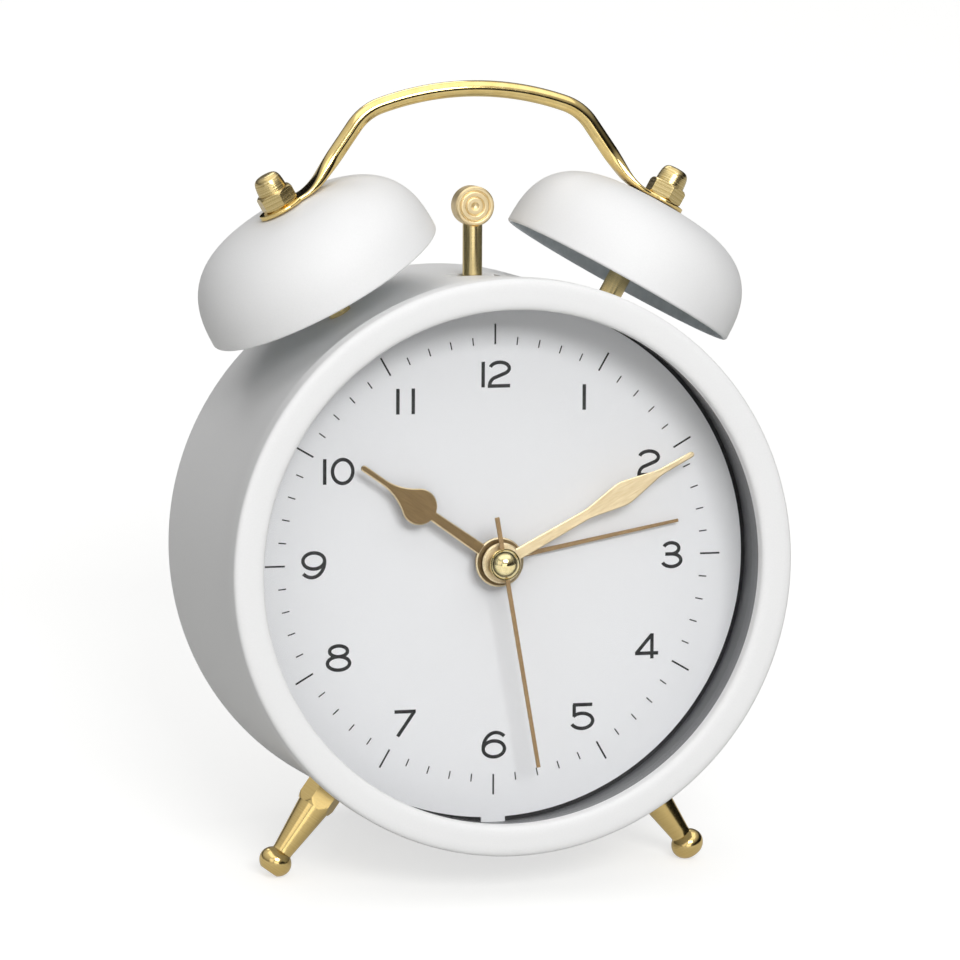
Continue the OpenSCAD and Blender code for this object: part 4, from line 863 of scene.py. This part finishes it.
for pieceName, sheets in (("dialNumerals", numeralSheets(numerals, dialMarks)),
                          ("dialTicks", tickSheets(dialMarks))):
    makePiece(pieceName, sheets, [printInk], "case",
              sharp=meshWork["printSharpDeg"])

floorLook = {
    "radius": 5.0, "count": 96, "tone": "#b8b8b6", "rough": 0.9, "glow": (0.64, 1.0),
    "fade": (0.9, 2.4), "mirrored": 0.35,
}


def seenRays(tree, mirrored):
    # 1 on rays from the camera and through glass, and the mirrored share on rays off metal
    path = addNode(tree, "ShaderNodeLightPath")
    eyes = {0: path.outputs["Is Camera Ray"], 1: path.outputs["Is Transmission Ray"]}
    seen = addNode(tree, "ShaderNodeMath", {"operation": "MAXIMUM"}, eyes)
    less = {"operation": "MULTIPLY", 1: mirrored}
    share = addNode(tree, "ShaderNodeMath", less, {0: path.outputs["Is Glossy Ray"]})
    every = {0: seen.outputs[0], 1: share.outputs[0]}
    return addNode(tree, "ShaderNodeMath", {"operation": "MAXIMUM"}, every).outputs[0]


def makeFloor(s):
    # a flat disc that the eye sees brighter than lamps alone make it, so that it meets white
    # outside the shadow; the glow grows with the distance from the clock, where lamps fall off
    plain = {"Base Color": linear(s["tone"]), "Roughness": s["rough"]}
    made, tree, shader = newMaterial({"name": "pale floor", "plain": plain})
    coords = addNode(tree, "ShaderNodeTexCoord")
    place = {0: coords.outputs["Object"]}
    reach = addNode(tree, "ShaderNodeVectorMath", {"operation": "LENGTH"}, place)
    fade = {"From Min": s["fade"][0], "From Max": s["fade"][1],
            "To Min": s["glow"][0], "To Max": s["glow"][1]}
    level = addNode(tree, "ShaderNodeMapRange", fade, {"Value": reach.outputs["Value"]})
    shown = {0: seenRays(tree, s["mirrored"]), 1: level.outputs[0]}
    strength = addNode(tree, "ShaderNodeMath", {"operation": "MULTIPLY"}, shown)
    white = {"Color": (1, 1, 1, 1)}
    glow = addNode(tree, "ShaderNodeEmission", white, {"Strength": strength.outputs[0]})
    both = {0: shader.outputs[0], 1: glow.outputs[0]}
    sumUp = addNode(tree, "ShaderNodeAddShader", links=both)
    tree.links.new(sumUp.outputs[0], tree.nodes["Material Output"].inputs["Surface"])
    turn = np.linspace(0, 2 * np.pi, s["count"], endpoint=False)
    ring = np.stack([np.cos(turn), np.sin(turn), np.zeros(s["count"])], -1) * s["radius"]
    mesh = bpy.data.meshes.new("studioFloor")
    mesh.from_pydata(ring, [], [list(range(s["count"]))])
    mesh.materials.append(made)
    floor = bpy.data.objects.new("studioFloor", mesh)
    bpy.context.scene.collection.objects.link(floor)


makeFloor(floorLook)

# soft boxes: a key in front and above, a broad one overhead, a fill on the left, a low card
# that brass mirrors and one behind
lamps = {
    "keyBox": {"place": (0.05, -1.7, 1.28), "aim": 0.07, "size": (1.0, 0.6), "watts": 22.0},
    "topBox": {"place": (0.0, -0.1, 1.6), "aim": 0.07, "size": (2.6, 2.0), "watts": 13.2},
    "leftCard": {"place": (-1.35, -1.35, 0.6), "aim": 0.09, "size": (1.0, 1.1), "watts": 2.6},
    "lowCard": {"place": (-0.27, -1.83, 0.32), "aim": 0.09, "size": (1.1, 0.6), "watts": 3.2},
    "backBox": {"place": (0.0, 1.5, 1.3), "aim": 0.09, "size": (1.0, 0.7), "watts": 5.0},
}


def makeLamp(name, s):
    # a rectangle that points its local -z at a height over the table's middle
    data = bpy.data.lights.new(name, "AREA")
    data.shape = "RECTANGLE"
    data.size, data.size_y = s["size"]
    data.energy = s["watts"]
    way = Vector((0, 0, s["aim"])) - Vector(s["place"])
    turn = way.to_track_quat("-Z", "Y").to_matrix().to_4x4()
    lamp = bpy.data.objects.new(name, data)
    lamp.matrix_world = Matrix.Translation(s["place"]) @ turn
    bpy.context.scene.collection.objects.link(lamp)


for name, s in lamps.items():
    makeLamp(name, s)

studio = {
    "level": 0.23, "seen": 0.8, "mirrored": 1.0, "backdrop": 1.0, "axis": (-0.2, 0.0, 0.98),
    "stops": ((0.16, "#141415"), (0.42, "#c8c8c9"), (0.8, "#ffffff")),
}


def makeWorld(s):
    # a plain room: dark at eye level and to the right, light overhead, so that polished metal
    # shows a dark line; the eye sees a white backdrop instead
    world = bpy.data.worlds.new("studioRoom")
    bpy.context.scene.world = world
    world.use_nodes = True
    tree = world.node_tree
    tree.nodes.clear()
    coords = addNode(tree, "ShaderNodeTexCoord")
    climb = {"operation": "DOT_PRODUCT", 1: s["axis"]}
    height = addNode(tree, "ShaderNodeVectorMath", climb, {0: coords.outputs["Generated"]})
    ramp = addNode(tree, "ShaderNodeValToRGB", links={"Fac": height.outputs["Value"]})
    ramp.color_ramp.elements.new(s["stops"][1][0])
    for stop, (place, tone) in zip(ramp.color_ramp.elements, s["stops"]):
        stop.position = place
        stop.color = linear(tone)
    strength = {"To Min": s["level"], "To Max": s["seen"]}
    path = addNode(tree, "ShaderNodeLightPath")
    seen = {"Value": seenRays(tree, s["mirrored"])}
    shown = addNode(tree, "ShaderNodeMapRange", strength, seen)
    light = {"Color": ramp.outputs[0], "Strength": shown.outputs[0]}
    room = addNode(tree, "ShaderNodeBackground", links=light)
    backdrop = {"Color": (1, 1, 1, 1), "Strength": s["backdrop"]}
    white = addNode(tree, "ShaderNodeBackground", backdrop)
    both = {0: path.outputs["Is Camera Ray"], 1: room.outputs[0], 2: white.outputs[0]}
    sky = addNode(tree, "ShaderNodeMixShader", links=both)
    addNode(tree, "ShaderNodeOutputWorld", links={"Surface": sky.outputs[0]})


makeWorld(studio)

view = {
    "azimuth": -16.481, "elevation": 6.429, "roll": 0.258, "focalPx": 7105.6, "framePx": 960,
    "place": (-405.241, -1345.423, 175.989), "sensor": 36.0, "far": 50,
}


def makeCamera(s):
    # the camera's axes in the clock's frame, turned with the lean
    az, el, roll = (math.radians(s[k]) for k in ("azimuth", "elevation", "roll"))
    level = math.cos(el)
    back = np.array([math.sin(az) * level, -math.cos(az) * level, math.sin(el)])
    right = np.array([math.cos(az), math.sin(az), 0])
    up = np.cross(back, right)
    rolled = [math.cos(roll) * right + math.sin(roll) * up,
              math.cos(roll) * up - math.sin(roll) * right, back]
    turn = Matrix(turnToTable(np.array(rolled)).T.tolist()).to_4x4()
    data = bpy.data.cameras.new("photoCamera")
    data.sensor_width = s["sensor"]
    data.lens = s["focalPx"] * s["sensor"] / s["framePx"]
    data.clip_end = s["far"]
    camera = bpy.data.objects.new("photoCamera", data)
    camera.matrix_world = Matrix.Translation(standUp(s["place"])) @ turn
    bpy.context.scene.collection.objects.link(camera)
    bpy.context.scene.camera = camera


makeCamera(view)
bpy.context.scene.view_settings.view_transform = "Standard"
print("stage, lamps and camera set")
